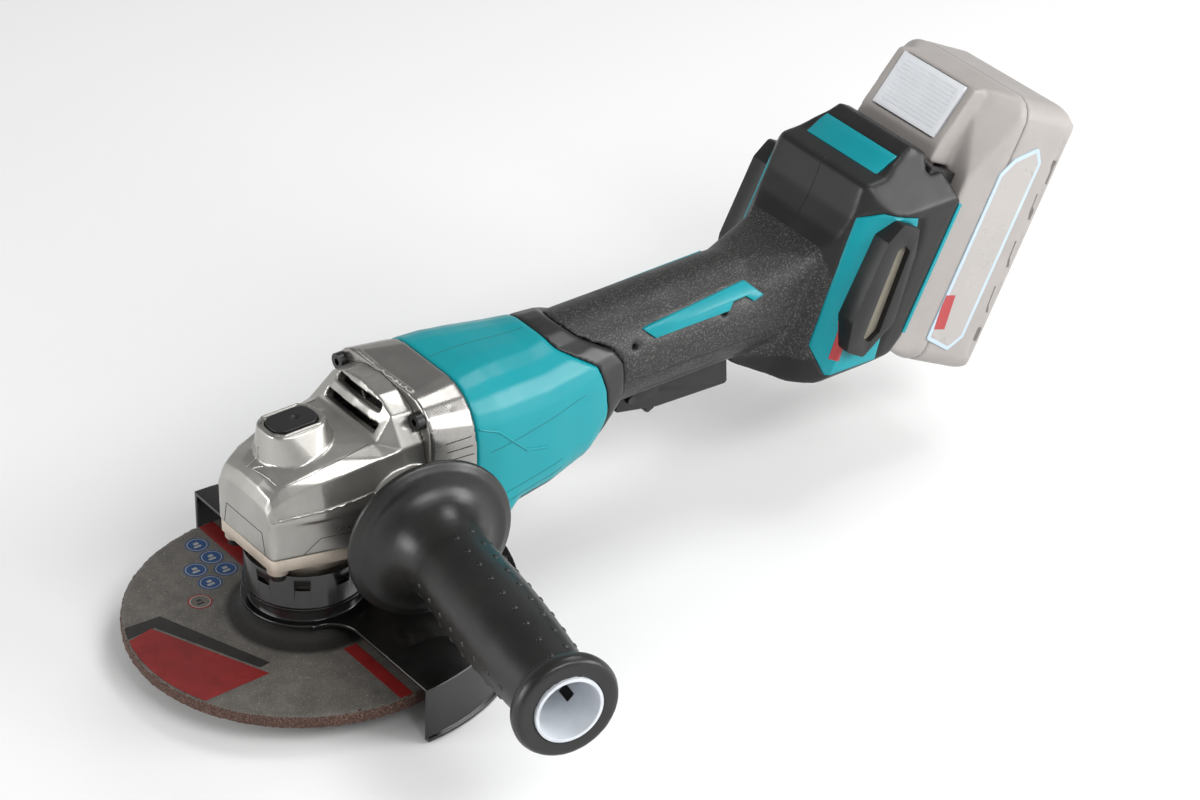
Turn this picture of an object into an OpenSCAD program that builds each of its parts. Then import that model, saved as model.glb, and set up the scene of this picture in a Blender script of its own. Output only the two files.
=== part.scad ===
// Cordless angle grinder with a paddle switch, a side handle and a slide-on battery.
// X runs from the head to the battery, Z is up, the disc turns about Z.
// The origin is on the spindle axis, at the outer face of the lock nut.

/* [Disc] */
// Diameter of the grinding disc
disc_d = 150; // [125:1:155]
// Thickness of the grinding disc
disc_t = 6; // [3:0.5:8]
// Bore of the disc
disc_bore = 22.23; // [16:0.01:25]
// Height that the disc's centre is raised by
hub_rise = 6.5; // [5:0.5:8]

/* [Lock nut] */
// Diameter of the lock nut
nut_d = 43; // [40:0.5:46]
// Thickness of the lock nut
nut_t = 5; // [4.5:0.5:7]
// Pitch circle of the spanner holes
nut_pcd = 35; // [28:0.5:36]
// Diameter of the spanner holes
nut_hole_d = 5; // [4:0.1:6]

/* [Guard] */
// Gap between the disc and the guard skirt
guard_gap = 8.7; // [4:0.1:14]
// Thickness of the guard sheet
guard_t = 1.8; // [1.2:0.1:2.5]
// Height of the guard skirt
skirt_h = 24.6; // [18:0.2:30]

/* [Gear head] */
// Width of the head across its front face
head_front_w = 40; // [36:0.5:46]
// Width of the head across the side handle bosses
head_w = 64; // [60:0.5:68]
// Height of the head above its bottom seam
head_h = 39.5; // [38:0.5:46]
// Casting wall
cast_wall = 3.2; // [2.5:0.1:4]
// Radius of the bearing nose that carries the guard
nose_r = 21; // [20:0.1:22]

/* [Gears] */
// Teeth on the bevel wheel
wheel_teeth = 34; // [30:1:38]
// Teeth on the pinion
pinion_teeth = 10; // [9:1:11]
// Cone distance of the bevel pair
cone_len = 21.5; // [20:0.1:22]
// Face width of the teeth
face_w = 6.5; // [5:0.1:7]

/* [Motor] */
// Width and height of the motor housing
motor_w = 70; // [66:0.5:76]
// Length of the motor housing along its top
motor_len = 48; // [44:0.5:60]
// Wall of the motor housing
shell_wall = 3; // [2:0.1:4]
// Radius of the rotor
rotor_r = 13; // [11:0.1:14]

/* [Grip] */
// Diameter of the grip
grip_d = 46; // [42:0.5:52]
// Length from the neck to the battery housing
grip_len = 120; // [110:1:150]
// Travel of the paddle at its rear end
paddle_travel = 4; // [2:0.1:5]

/* [Side handle] */
// Length of the side handle beyond its flange
side_len = 126; // [90:1:150]
// Diameter of the side handle's flange
side_flange_d = 70; // [56:1:80]
// Diameter of the side handle's grip
side_d = 35; // [32:0.5:40]
// Radius of the side handle's threaded stud
stud_r = 3.95; // [3.9:0.01:5]

/* [Battery] */
// Length of the battery
battery_len = 123; // [116:1:140]
// Width of the battery
battery_w = 79; // [77:0.5:84]
// Thickness of the battery behind the housing
battery_t = 54; // [50:0.5:60]
// Lean of the battery to the rear
battery_lean = 27.5; // [15:0.5:30]

/* [Hidden] */
$fn = 64;

eps = 0.01;
big = 400;
run_gap = 0.04;     // radial gap of a shaft in its bearing
part_gap = 0.3;     // gap between bodies that move past each other

steel = [0.62, 0.62, 0.64];
cast = [0.58, 0.58, 0.57];
black = [0.09, 0.09, 0.09];
dark = [0.2, 0.2, 0.2];
teal = [0.0, 0.52, 0.56];
pale = [0.72, 0.69, 0.66];

// Heights along the spindle, from the lock nut's outer face
disc_top = nut_t + disc_t;
rim_top = disc_top - hub_rise;
guard_z = disc_top + 0.8;
nose_z = guard_z + 2.2;
box_z = 42;
seam_z = 47.5;
crease_z = seam_z + 17.5;
head_z = seam_z + head_h;
motor_z = 65.5;
bearing_z = nose_z + 9;
spindle_r = 7;

// Bevel pair
wheel_cone = atan(wheel_teeth / pinion_teeth);
pinion_cone = 90 - wheel_cone;
mod_mid = 2 * (cone_len - face_w / 2) * sin(wheel_cone) / wheel_teeth;
tooth_up = 0.72 * mod_mid;
tooth_down = 1.0 * mod_mid;
tooth_root = 0.55 * mod_mid;
tooth_tip = 0.22 * mod_mid;
pin_x = -11;
pin_r = 2.4;

// Places along the tool, from the head to the battery
front_x = -27.5;
ring_x = 38;
ring_end = 59.5;
motor_end = ring_end + motor_len;
neck_x = motor_end + 10.5;
grip_end = neck_x + grip_len;
grip_z = 74.5;
grip_r = grip_d / 2;
pivot_x = neck_x + 34;
pivot_z = 53.5;
paddle_end = neck_x + 85;
paddle_z = 43;
paddle_half = 11.5;

// Side handle
boss_x = 28.8;
boss_z = 56.5;
side_angle = 10;
boss_face = head_w / 2 + 4;
flange_at = (head_w / 2 + 18) / cos(side_angle);
stud_hole_r = stud_r + 0.05;

// Battery mount
mount_x = grip_end + 52;
mount_z = 84.5;
tongue_half = 26.2;
tongue_neck = 21.2;
tongue_t = 12.2;
house_half = battery_w / 2 + 1;
panel_t = 1.6;

// ---------------------------------------------------------------- helpers

// Tube along Z
module tube(r_out, r_in, h) {
    difference() {
        cylinder(r = r_out, h = h);
        translate([0, 0, -eps]) cylinder(r = r_in, h = h + 2 * eps);
    }
}

// Cylinder along X, from x
module rod_x(r, x0, x1) {
    translate([x0, 0, 0]) rotate([0, 90, 0]) cylinder(r = r, h = x1 - x0);
}

// Turned shape along X, profile in (x, radius) pairs
module turned_x(profile) {
    rotate([0, 90, 0]) rotate_extrude() polygon([for (p = profile) [p[1], p[0]]]);
}

// Plate in the XZ plane, from y0 to y1
module plate_xz(points, y0, y1) {
    translate([0, y1, 0]) rotate([90, 0, 0]) linear_extrude(y1 - y0) polygon(points);
}

// Rounded corner of radius r at p, between a and b, in steps points
function unit(v) = v / norm(v);
function corner(a, p, b, r, steps) =
    let (u = unit(a - p), w = unit(b - p), half = acos(u * w) / 2, d = r / tan(half),
         c = p + unit(u + w) * r / sin(half), s = p + u * d - c, e = p + w * d - c,
         turn = acos(max(-1, min(1, s * e / (r * r)))), way = s[0] * e[1] - s[1] * e[0] > 0 ? 1 : -1)
    [for (i = [0:steps]) let (t = way * turn * i / steps)
        c + [s[0] * cos(t) - s[1] * sin(t), s[0] * sin(t) + s[1] * cos(t)]];
function rounded(pts, r, steps = 5) =
    let (n = len(pts)) [for (i = [0:n - 1]) each corner(pts[(i + n - 1) % n], pts[i], pts[(i + 1) % n], r, steps)];

// Closed skin through loops of [y, z] points, each at its own x
module skin(xs, loops) {
    n = len(loops[0]);
    last = len(xs) - 1;
    points = [for (i = [0:last]) for (p = loops[i]) [xs[i], p[0], p[1]]];
    sides = [for (i = [0:last - 1]) for (j = [0:n - 1])
        let (a = i * n + j, b = i * n + (j + 1) % n) each [[a, a + n, b + n], [a, b + n, b]]];
    front = [for (j = [1:n - 2]) [0, j, j + 1]];
    back = [for (j = [1:n - 2]) [last * n, last * n + j + 1, last * n + j]];
    polyhedron(points, concat(sides, front, back));
}

// Rounded box section: half width, bottom, top, radius of the lower and the upper corners
function box_loop(w, lo, hi, r_lo, r_hi, steps = 5) = concat(
    [for (i = [0:steps]) let (t = -90 + 90 * i / steps) [w - r_lo + r_lo * cos(t), lo + r_lo + r_lo * sin(t)]],
    [for (i = [0:steps]) let (t = 90 * i / steps) [w - r_hi + r_hi * cos(t), hi - r_hi + r_hi * sin(t)]],
    [for (i = [0:steps]) let (t = 90 + 90 * i / steps) [-w + r_hi + r_hi * cos(t), hi - r_hi + r_hi * sin(t)]],
    [for (i = [0:steps]) let (t = 180 + 90 * i / steps) [-w + r_lo + r_lo * cos(t), lo + r_lo + r_lo * sin(t)]]);

module half_space(side) {
    translate([-big / 2, side > 0 ? 0 : -big, -big / 2]) cube([2 * big, big, big]);
}

// Frame of the battery mount: X points away from the housing, Z up along the battery
module at_battery() {
    translate([mount_x, 0, mount_z]) rotate([0, battery_lean, 0]) children();
}

// Frame of a side handle socket: Z along its axis, outwards, from the middle of the head
module side_axis(side) {
    translate([boss_x + tan(side_angle) * head_w / 2, 0, boss_z]) rotate([0, 0, side * side_angle])
        rotate([-side * 90, 0, 0]) children();
}

// Frame of the side handle: Z along the handle, outwards, from its flange's rim
module at_side() side_axis(-1) translate([0, 0, flange_at]) children();

// ---------------------------------------------------------------- disc and spindle

module grinding_disc() color([0.45, 0.41, 0.37]) {
    rotate_extrude($fn = 96) polygon([
        [disc_bore / 2, nut_t], [22.5, nut_t], [28.5, rim_top - disc_t], [disc_d / 2, rim_top - disc_t],
        [disc_d / 2, rim_top], [31.5, rim_top], [27.5, rim_top + 1.6], [20.5, disc_top], [disc_bore / 2, disc_top]]);
}

module lock_nut() color(steel) difference() {
    union() {
        cylinder(d = nut_d, h = nut_t);
        cylinder(r = disc_bore / 2 - 0.1, h = nut_t + disc_t * 0.25);
    }
    translate([0, 0, -eps]) cylinder(r = spindle_r + eps, h = nut_t + disc_t);
    for (side = [-1, 1]) translate([side * nut_pcd / 2, 0, -eps]) cylinder(d = nut_hole_d, h = 3.5);
}

module inner_flange() color(steel) difference() {
    union() {
        translate([0, 0, disc_top]) cylinder(r = 20, h = 1.8);
        translate([0, 0, disc_top - disc_t * 0.6]) cylinder(r = disc_bore / 2 - 0.1, h = disc_t * 0.6 + 1);
        translate([0, 0, disc_top]) cylinder(r = 9.5, h = bearing_z - disc_top - 0.5);
    }
    cylinder(r = spindle_r + eps, h = bearing_z);
}

module spindle() color(steel) {
    translate([0, 0, 0.8]) cylinder(r = spindle_r, h = bearing_z - 0.8);
    translate([0, 0, bearing_z]) cylinder(r = 6, h = 12);
    translate([0, 0, bearing_z + 12]) cylinder(r = 6.5, h = 22);
    translate([0, 0, bearing_z + 34]) cylinder(r = 5, h = head_z - 4.5 - bearing_z - 34);
}

module ball_bearing(r_out, r_in, w) {
    difference() {
        cylinder(r = r_out, h = w);
        translate([0, 0, -eps]) cylinder(r = r_in, h = w + 2 * eps);
        for (z = [-eps, w - 0.6 + eps])
            translate([0, 0, z]) tube(r_out - (r_out - r_in) * 0.25, r_in + (r_out - r_in) * 0.25, 0.6);
    }
}

module spindle_bearing() color(steel)
    translate([0, 0, bearing_z]) ball_bearing(16, 6 + run_gap, 10);

module spindle_needle_bearing() color(steel)
    translate([0, 0, head_z - 14]) tube(7, 5 + run_gap, 9);

module bearing_retainer() color(dark)
    translate([0, 0, bearing_z + 10]) tube(17.5, 9, 1.6);

// One straight tooth: root and tip lie dir * height from the pitch cone
module tooth(dir) {
    translate([0, 0, cone_len - face_w]) linear_extrude(face_w) polygon([
        [-dir * tooth_down, -tooth_root], [-dir * tooth_down, tooth_root],
        [dir * tooth_up, tooth_tip], [dir * tooth_up, -tooth_tip]]);
}

function cone_point(cone, dist, lift) =
    [dist * sin(cone) + lift * cos(cone), dist * cos(cone) - lift * sin(cone)];

module bevel_wheel() color(steel) difference() {
    sink = tooth_down - 0.25;
    outer = cone_point(wheel_cone, cone_len, -sink);
    inner = cone_point(wheel_cone, cone_len - face_w, -sink);
    web_z = inner[1] + 1.5;
    translate([0, 0, motor_z]) mirror([0, 0, 1]) union() {
        rotate_extrude() polygon([
            [6.5, web_z + 1], [inner[0] - 1, web_z + 1], [inner[0], inner[1]], outer, [outer[0], outer[1] + 2.5],
            [14, outer[1] + 6], [10, outer[1] + 9], [6.5, outer[1] + 9]]);
        for (i = [0:wheel_teeth - 1]) rotate([0, 0, i * 360 / wheel_teeth]) rotate([0, wheel_cone, 0]) tooth(1);
    }
    for (i = [0:3]) rotate([0, 0, i * 90]) translate([pin_x, 0, 0]) cylinder(r = pin_r + 0.3, h = motor_z);
}

module pinion() color(steel) {
    sink = tooth_down - 0.25;
    outer = cone_point(pinion_cone, cone_len, -sink);
    inner = cone_point(pinion_cone, cone_len - face_w, -sink);
    translate([0, 0, motor_z]) rotate([0, 90, 0]) difference() {
        union() {
            rotate_extrude() polygon([[0, inner[1]], inner, outer, [outer[0], outer[1] + 3], [0, outer[1] + 3]]);
            for (i = [0:pinion_teeth - 1])
                rotate([0, 0, (i + 0.5) * 360 / pinion_teeth]) rotate([0, pinion_cone, 0]) tooth(1);
        }
        cylinder(r = 2.5, h = cone_len + 10);
    }
}

// ---------------------------------------------------------------- guard

guard_r = disc_d / 2 + guard_gap + guard_t;
neck_out = nose_r + part_gap + 2.2;

module guard() color(black) {
    lead = neck_out + 3;
    fillet = 12;
    fy = sqrt(pow(lead + fillet, 2) - fillet * fillet);
    difference() {
        union() {
            translate([0, 0, guard_z]) cylinder(r = guard_r, h = guard_t, $fn = 96);
            translate([0, 0, guard_z - skirt_h + guard_t]) tube(guard_r, guard_r - guard_t, skirt_h);
            translate([0, 0, guard_z - skirt_h + guard_t])
                tube(guard_r + 1.2, guard_r - eps, guard_t);
            translate([0, 0, guard_z]) cylinder(r = neck_out, h = 7.2);
        }
        translate([0, 0, guard_z - 1]) cylinder(r = nose_r + part_gap, h = 20);
        difference() {
            translate([-big, -big, -big / 2]) cube([big, 2 * big, big]);
            translate([0, 0, guard_z - 1]) cylinder(r = lead, h = 12);
            translate([-fillet, -fy, guard_z - 1]) cube([fillet + 1, 2 * fy, 12]);
        }
        for (side = [-1, 1]) translate([-fillet, side * fy, guard_z - 1]) cylinder(r = fillet, h = 12);
        translate([-lead - 20, -fy - 20, guard_z - 1]) cube([20, 2 * fy + 40, 12]);
        difference() {
            translate([-lead - 2, -fy, guard_z - 1]) cube([lead + 2 - fillet, 2 * fy, 12]);
            translate([0, 0, guard_z - 2]) cylinder(r = lead, h = 14);
        }
    }
}

collar_z = guard_z + 7.2;
collar_r = neck_out + 1.2;
collar_h = box_z - 6.2 - collar_z;

module guard_collar() color(black) difference() {
    union() {
        translate([0, 0, collar_z]) cylinder(r = collar_r, h = collar_h);
        translate([0, 0, collar_z]) cylinder(r = collar_r + 0.9, h = 1.6);
        rotate([0, 0, 75]) translate([collar_r - 2, -6, collar_z + 3]) cube([11, 12, 10]);
    }
    translate([0, 0, collar_z - 1]) cylinder(r = nose_r + part_gap, h = collar_h + 2);
    rotate([0, 0, 75]) translate([nose_r, -0.8, collar_z + 1.7]) cube([20, 1.6, collar_h]);
    rotate([0, 0, 75]) translate([collar_r + 4.5, 10, collar_z + 8]) rotate([90, 0, 0]) cylinder(r = 2.2, h = 20);
    for (a = [195, 235, 275, 150]) rotate([0, 0, a]) translate([nose_r, -3, collar_z + 10]) cube([9, 6, 2.4]);
}

module guard_screw() color(steel)
    rotate([0, 0, 75]) translate([collar_r + 4.5, 6, collar_z + 8]) {
        rotate([90, 0, 0]) cylinder(r = 2.1, h = 16);
        difference() {
            rotate([-90, 0, 0]) cylinder(r = 4, h = 3.6);
            translate([0, 1.6, 0]) rotate([-90, 0, 0]) cylinder(r = 2, h = 3, $fn = 6);
        }
    }

// ---------------------------------------------------------------- head castings

// Outline of the head in plan, pulled in by inset
function head_plan(inset) = let (f = head_front_w / 2 - inset, w = head_w / 2 - inset)
    [[front_x + inset, -f], [8, -w + 2.6], [24, -w], [ring_x, -w], [ring_x, w], [24, w], [8, w - 2.6], [front_x + inset, f]];

foot_at = [[front_x + 5.2, -head_front_w / 2 + 4.6], [front_x + 5.2, head_front_w / 2 - 4.6],
           [28, -head_w / 2 + 5.2], [28, head_w / 2 - 5.2]];

module bearing_box() color([0.74, 0.7, 0.64]) difference() {
    union() {
        translate([0, 0, box_z]) linear_extrude(seam_z - box_z) polygon(rounded(head_plan(0.4), 3));
        translate([0, 0, nose_z]) cylinder(r = nose_r, h = box_z - nose_z + 1);
        for (p = foot_at) translate([p[0], p[1], box_z - 2.6]) cylinder(r = 4.4, h = 4);
    }
    translate([0, 0, nose_z - 1]) cylinder(r = 10.5, h = 20);
    translate([0, 0, bearing_z]) cylinder(r = 16, h = 10);
    translate([0, 0, bearing_z + 10 - eps]) cylinder(r = 17.5, h = big);
    translate([0, 0, box_z - 2]) linear_extrude(20)
        intersection() { polygon(rounded(head_plan(10), 4)); circle(r = 23.5); }
    for (p = foot_at) translate([p[0], p[1], 0]) cylinder(r = 2.2, h = big);
}

module bearing_box_screws() color(dark)
    for (p = foot_at) translate([p[0], p[1], 0]) {
        difference() {
            translate([0, 0, box_z - 5.8]) cylinder(r1 = 3.2, r2 = 3.7, h = 3.2);
            translate([0, 0, box_z - 6]) cylinder(r = 1.7, h = 2.2, $fn = 6);
        }
        translate([0, 0, box_z - 2.6]) cylinder(r = 2, h = 10);
    }

// Cross-sections of the head above its crease: x, crease half width, edge y and z,
// shoulder y and z, arch y and z, ridge z. Heights are measured down from the head's top.
head_sections = [
    [front_x, head_front_w / 2 - 1.2, 17.5, -19.5, 15.4, -17.4, 7, -16.5, -16.2],
    [front_x + 2, head_front_w / 2 + 0.4, 18.4, -16, 16.2, -12.8, 7.5, -11.2, -11],
    [front_x + 5, head_front_w / 2 + 1.4, 19, -14.4, 16.7, -10.4, 8, -8.2, -7.9],
    [front_x + 9, head_front_w / 2 + 2.4, 19.8, -12.4, 17.2, -7.8, 8.4, -5.2, -4.7],
    [-6, head_w / 2 - 5.4, 23, -8.8, 19.2, -4.2, 9.5, -1.6, -1.1],
    [4, head_w / 2 - 3.2, 24.8, -7.4, 20.2, -2.8, 10, -0.7, -0.2],
    [21, head_w / 2 - 1, 27, -4.8, 21, -1.6, 10, -0.5, 0],
    [28.5, head_w / 2, 28.2, -3.6, 21, 8.4, 11.5, 13.2, 14.8],
    [ring_x, head_w / 2, 29.4, -2.6, 22, 8.4, 12, 13, 14.6]];

function head_loop(s, low, inset) = let (
    right = [[s[1] - inset, low], [s[1] - inset, crease_z], [s[2] - inset, head_z + s[3] - inset * 0.4],
             [s[4] - inset * 0.6, head_z + s[5] - inset], [s[6], head_z + s[7] - inset]])
    concat(right, [[0, head_z + s[8] - inset]], [for (i = [4:-1:0]) [-right[i][0], right[i][1]]]);

module head_block(inset, low) {
    skin([for (s = head_sections) min(ring_x + (inset > 0 ? 1 : 0), s[0] + inset)],
         [for (s = head_sections) head_loop(s, low, inset)]);
}

boss_r = 18;
button_x = -4.3;
button_top = head_z + 8.6;

module button_plan(grow, h) linear_extrude(h)
    polygon(rounded([[button_x - 10.3 - grow, -6.8 - grow], [button_x + 10.3 + grow, -6.8 - grow],
                     [button_x + 10.3 + grow, 6.8 + grow], [button_x - 10.3 - grow, 6.8 + grow]], 5.4 + grow / 2, 6));

module side_boss(side) {
    intersection() {
        side_axis(side) cylinder(r1 = 27, r2 = boss_r, h = boss_face + 0.5);
        translate([-20, side > 0 ? 0 : -60, seam_z]) cube([ring_x + 20, 60, head_h]);
    }
}

module gear_housing() color(cast) difference() {
    union() {
        difference() {
            head_block(0, crease_z - 2);
            head_block(cast_wall, crease_z - 3);
        }
        translate([0, 0, seam_z]) linear_extrude(crease_z - seam_z)
            difference() { polygon(rounded(head_plan(0), 3.2)); polygon(rounded(head_plan(cast_wall), 3)); }
        intersection() {
            for (side = [-1, 1]) side_boss(side);
            difference() {
                translate([-20, -60, seam_z]) cube([ring_x + 20, 120, head_h]);
                translate([-20, -22, seam_z - 1]) cube([60, 44, head_h + 2]);
            }
        }
        hull() {
            translate([0, 0, head_z + 6.8]) button_plan(2.8, 0.8);
            translate([button_x + 1, 0, head_z - 5]) cylinder(r = 16, h = 1, $fn = 32);
        }
        translate([0, 0, head_z - 14]) cylinder(r = 10, h = 14);
        translate([pin_x, 0, head_z - 16]) cylinder(r = 5, h = 14);
        for (p = foot_at) translate([p[0], p[1], seam_z]) cylinder(r = 4.2, h = 9);
    }
    // bores of the needle bearing, the lock pin and the button's well
    translate([0, 0, head_z - 14 - eps]) cylinder(r = 7, h = 9 + 2 * eps);
    translate([0, 0, head_z - 14 - eps]) cylinder(r = 5.6, h = 11);
    translate([pin_x, 0, head_z - 20]) cylinder(r = pin_r + 0.1, h = 30);
    translate([0, 0, head_z - 1]) button_plan(0.25, 20);
    // sockets of the side handle, right and left
    for (side = [-1, 1]) side_axis(side) {
        translate([0, 0, 20]) cylinder(r = stud_hole_r, h = 30);
        translate([0, 0, boss_face]) cylinder(r = 60, h = 30);
    }
    // two air slots in the rising face
    for (row = [0, 1]) translate([24 + row * 3, 0, head_z + 2.2 + row * 7.6])
        rotate([0, -68, 0]) translate([-2, -17 + row * 2, -7]) cube([4, 34 - row * 4, 14]);
    // screw holes of the bearing box
    for (p = foot_at) translate([p[0], p[1], seam_z - 1]) cylinder(r = 2 + eps, h = 4);
    // room beside the heads of the ring screws
    each_ring_screw() translate([0, 0, -14]) cylinder(r = 4.2, h = 20);
}

// Ring screws: their heads lie on the ring's front face, beside and below the head
module ring_screw_at(sy, sz) {
    translate([ring_x, sy * (sz > 0 ? 27.5 : 24), sz > 0 ? motor_z + 28 : motor_z - 27.5])
        rotate([0, 90, 0]) children();
}

module each_ring_screw() for (sy = [-1, 1], sz = [-1, 1]) ring_screw_at(sy, sz) children();

module gear_ring_screws() color(dark) each_ring_screw() {
    difference() {
        translate([0, 0, -3.2]) cylinder(r = 3.7, h = 3.2);
        translate([0, 0, -3.4]) cylinder(r = 1.7, h = 2, $fn = 6);
    }
    cylinder(r = 2, h = 12);
}

// Sections of the ring: at the head and at the motor housing
function ring_front(inset) = box_loop(head_w / 2 + 2.2 - inset, motor_z - 31 + inset, head_z + 14.6 - inset,
                                      14 - inset / 2, 15 - inset / 2);
function ring_rear(inset) = box_loop(motor_w / 2 - inset, motor_z - motor_w / 2 + inset, motor_z + motor_w / 2 - inset,
                                     motor_w * 0.22, motor_w * 0.3);

module gear_ring() color([0.42, 0.42, 0.42]) difference() {
    union() {
        difference() {
            skin([ring_x, ring_end], [ring_front(0), ring_rear(0)]);
            skin([ring_x - 1, ring_end + 1], [ring_front(3.4), ring_rear(3.4)]);
        }
        intersection() {
            union() {
                translate([ring_x, -motor_w, 0]) cube([4, 2 * motor_w, 2 * motor_z]);
                each_ring_screw() cylinder(r = 4, h = 14);
            }
            skin([ring_x, ring_end], [ring_front(0.3), ring_rear(0.6)]);
        }
        translate([0, 0, motor_z]) rod_x(19, ring_x, ring_x + 9);
    }
    translate([0, 0, motor_z]) rod_x(16, ring_x + 1, ring_x + 20);
    translate([0, 0, motor_z]) rod_x(9, ring_x - 1, ring_x + 20);
    for (a = [30:60:330]) translate([0, 0, motor_z]) rotate([a, 0, 0]) translate([ring_x - 1, -3, 21]) cube([8, 6, 5]);
    each_ring_screw() translate([0, 0, -1]) cylinder(r = 2 + eps, h = 16);
    for (side = [-1, 1], i = [0:2]) translate([46, side * (motor_w / 2 + 0.2), motor_z + 8 - i * 5.5])
        rotate([0, -12, 0]) translate([0, -0.8, -0.5]) cube([11, 1.6, 1]);
}

// ---------------------------------------------------------------- spindle lock

module lock_button() color(black) difference() {
    translate([0, 0, head_z + 4.2]) button_plan(0, button_top - head_z - 4.2);
    translate([button_x + 2, 0, button_top + 2.2]) sphere(r = 3);
    translate([pin_x, 0, head_z]) cylinder(r = pin_r + eps, h = 6.5);
}

module lock_pin() color(steel)
    translate([pin_x, 0, head_z - 26.2]) cylinder(r = pin_r, h = 32.5);

module lock_spring() color(steel) difference() {
    translate([pin_x, 0, head_z - 1 + eps]) tube(3.6, 2.6, 5.2 - 2 * eps);
    for (z = [0:1.3:4]) translate([pin_x, 0, head_z + z]) tube(4, 3.1, 0.5);
}

// ---------------------------------------------------------------- motor

module rotor_shaft() color(steel) translate([0, 0, motor_z]) {
    rod_x(2.5, cone_len * cos(pinion_cone) - 6, cone_len * cos(pinion_cone) + 4);
    rod_x(6, cone_len * cos(pinion_cone) + 4.5, ring_x + 9.2);
    rod_x(5, ring_x + 9.2, motor_end - 6);
    rod_x(4, motor_end - 6, motor_end + 3);
}

module rotor_core() color([0.3, 0.3, 0.32]) translate([0, 0, motor_z]) difference() {
    rod_x(rotor_r, ring_end + 7, motor_end - 12);
    rod_x(5, ring_end, motor_end);
    for (a = [0:60:300]) rotate([a, 0, 0]) translate([ring_end, -4, rotor_r - 2.6]) cube([60, 8, 1.4]);
}

module fan() color(black) translate([0, 0, motor_z]) difference() {
    union() {
        rod_x(27.5, ring_end - 6.5, ring_end - 5);
        rod_x(9, ring_end - 12, ring_end - 2);
        for (i = [0:12]) rotate([i * 360 / 13, 0, 0]) translate([ring_end - 11.5, 8.5, -0.7]) cube([6, 18.8, 1.4]);
    }
    rod_x(5, ring_end - 20, ring_end + 5);
}

module front_motor_bearing() color(steel)
    translate([ring_x + 1, 0, motor_z]) rotate([0, 90, 0]) ball_bearing(16, 6 + run_gap, 8);

module rear_motor_bearing() color(steel)
    translate([motor_end - 5, 0, motor_z]) rotate([0, 90, 0]) ball_bearing(9.5, 4 + run_gap, 7);

stator_x0 = ring_end + 6;
stator_x1 = motor_end - 11;
stator_r = 25;

module stator() color([0.5, 0.5, 0.52]) translate([0, 0, motor_z]) difference() {
    union() {
        difference() { rod_x(stator_r, stator_x0, stator_x1); rod_x(22.5, stator_x0 - 1, stator_x1 + 1); }
        for (a = [0:60:300]) rotate([a, 0, 0]) {
            translate([stator_x0, -2.5, rotor_r + 1]) cube([stator_x1 - stator_x0, 5, 23 - rotor_r - 1]);
        }
        difference() {
            rod_x(rotor_r + 2.6, stator_x0, stator_x1);
            for (a = [30:60:330]) rotate([a, 0, 0]) translate([stator_x0 - 1, -1.5, 0]) cube([60, 3, 30]);
        }
    }
    rod_x(rotor_r + 0.6, stator_x0 - 1, stator_x1 + 1);
}

module stator_coils() color([0.72, 0.4, 0.18]) translate([0, 0, motor_z])
    for (a = [0:60:300]) rotate([a, 0, 0]) difference() {
        translate([stator_x0 - 2.5, -5, rotor_r + 3.2]) cube([stator_x1 - stator_x0 + 5, 10, 18.6 - rotor_r]);
        translate([stator_x0, -2.5 - eps, rotor_r]) cube([stator_x1 - stator_x0, 5 + 2 * eps, 20]);
        difference() {
            translate([stator_x0 - 5, -10, 0]) cube([80, 20, 40]);
            rod_x(22.4, stator_x0 - 6, stator_x1 + 40);
        }
    }

// Outer skin from the ring to the neck: x, half width, bottom, top, lower and upper corner radius
body_sections = [
    [ring_end, motor_w / 2, motor_z - motor_w / 2, motor_z + motor_w / 2, motor_w * 0.22, motor_w * 0.3],
    [ring_end + 12, motor_w / 2 + 0.3, motor_z - 35, motor_z + motor_w / 2 + 0.5, 15, 24],
    [ring_end + 17, motor_w / 2, motor_z - 34.4, motor_z + motor_w / 2 + 0.2, 14, 25],
    [ring_end + 22, motor_w / 2 - 0.6, motor_z - 28.2, motor_z + motor_w / 2 - 0.1, 12, 25],
    [motor_end - 8, motor_w / 2 - 3, motor_z - 28.2, motor_z + motor_w / 2 - 2.2, 14, 25],
    [motor_end + 4, motor_w / 2 - 5.6, motor_z - 28.2, grip_z + grip_r + 0.9, 17, 26],
    [motor_end + 14, grip_r + 4.6, motor_z - 27, grip_z + grip_r + 0.6, 18, 25],
    [motor_end + 24, grip_r + 2, motor_z - 22, grip_z + grip_r + 0.5, 20, 23.5],
    [motor_end + 34, grip_r + 0.6, grip_z - grip_r - 0.4, grip_z + grip_r + 0.4, 22, 22.5]];

function body_loops(inset) = [for (s = body_sections)
    let (w = s[1] - inset, lo = s[2] + inset, hi = s[3] - inset, r = min(w, (hi - lo) / 2) - 0.5)
    box_loop(w, lo, hi, min(r, s[4]), min(r, s[5]), 6)];

module body_skin(inset) {
    grow = inset > 0 ? 1 : 0;
    last = len(body_sections) - 1;
    skin([for (i = [0:last]) body_sections[i][0] + (i == 0 ? -grow : i == last ? grow : 0)], body_loops(inset));
}

// Side view outlines of the seams behind the motor housing and behind the neck
motor_seam = [[ring_end - 5, motor_z + 50], [motor_end, motor_z + 50], [motor_end, 102], [motor_end + 3.5, 94.5],
              [motor_end + 19.5, 84], [motor_end + 23.5, 71], [motor_end + 24, 59], [motor_end + 19.5, 49],
              [motor_end + 8, 42.5], [ring_end + 26, 38.4], [ring_end + 22, 20], [ring_end - 5, 20]];
neck_seam = [[neck_x, 130], [neck_x, 99], [neck_x + 6.5, 93.5], [neck_x + 19, 86.5], [neck_x + 22.5, 80.5],
             [neck_x + 22.5, 61.5], [neck_x + 20, 54.5], [neck_x + 16, 51], [neck_x + 12, 40], [neck_x + 12, 10]];

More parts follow.
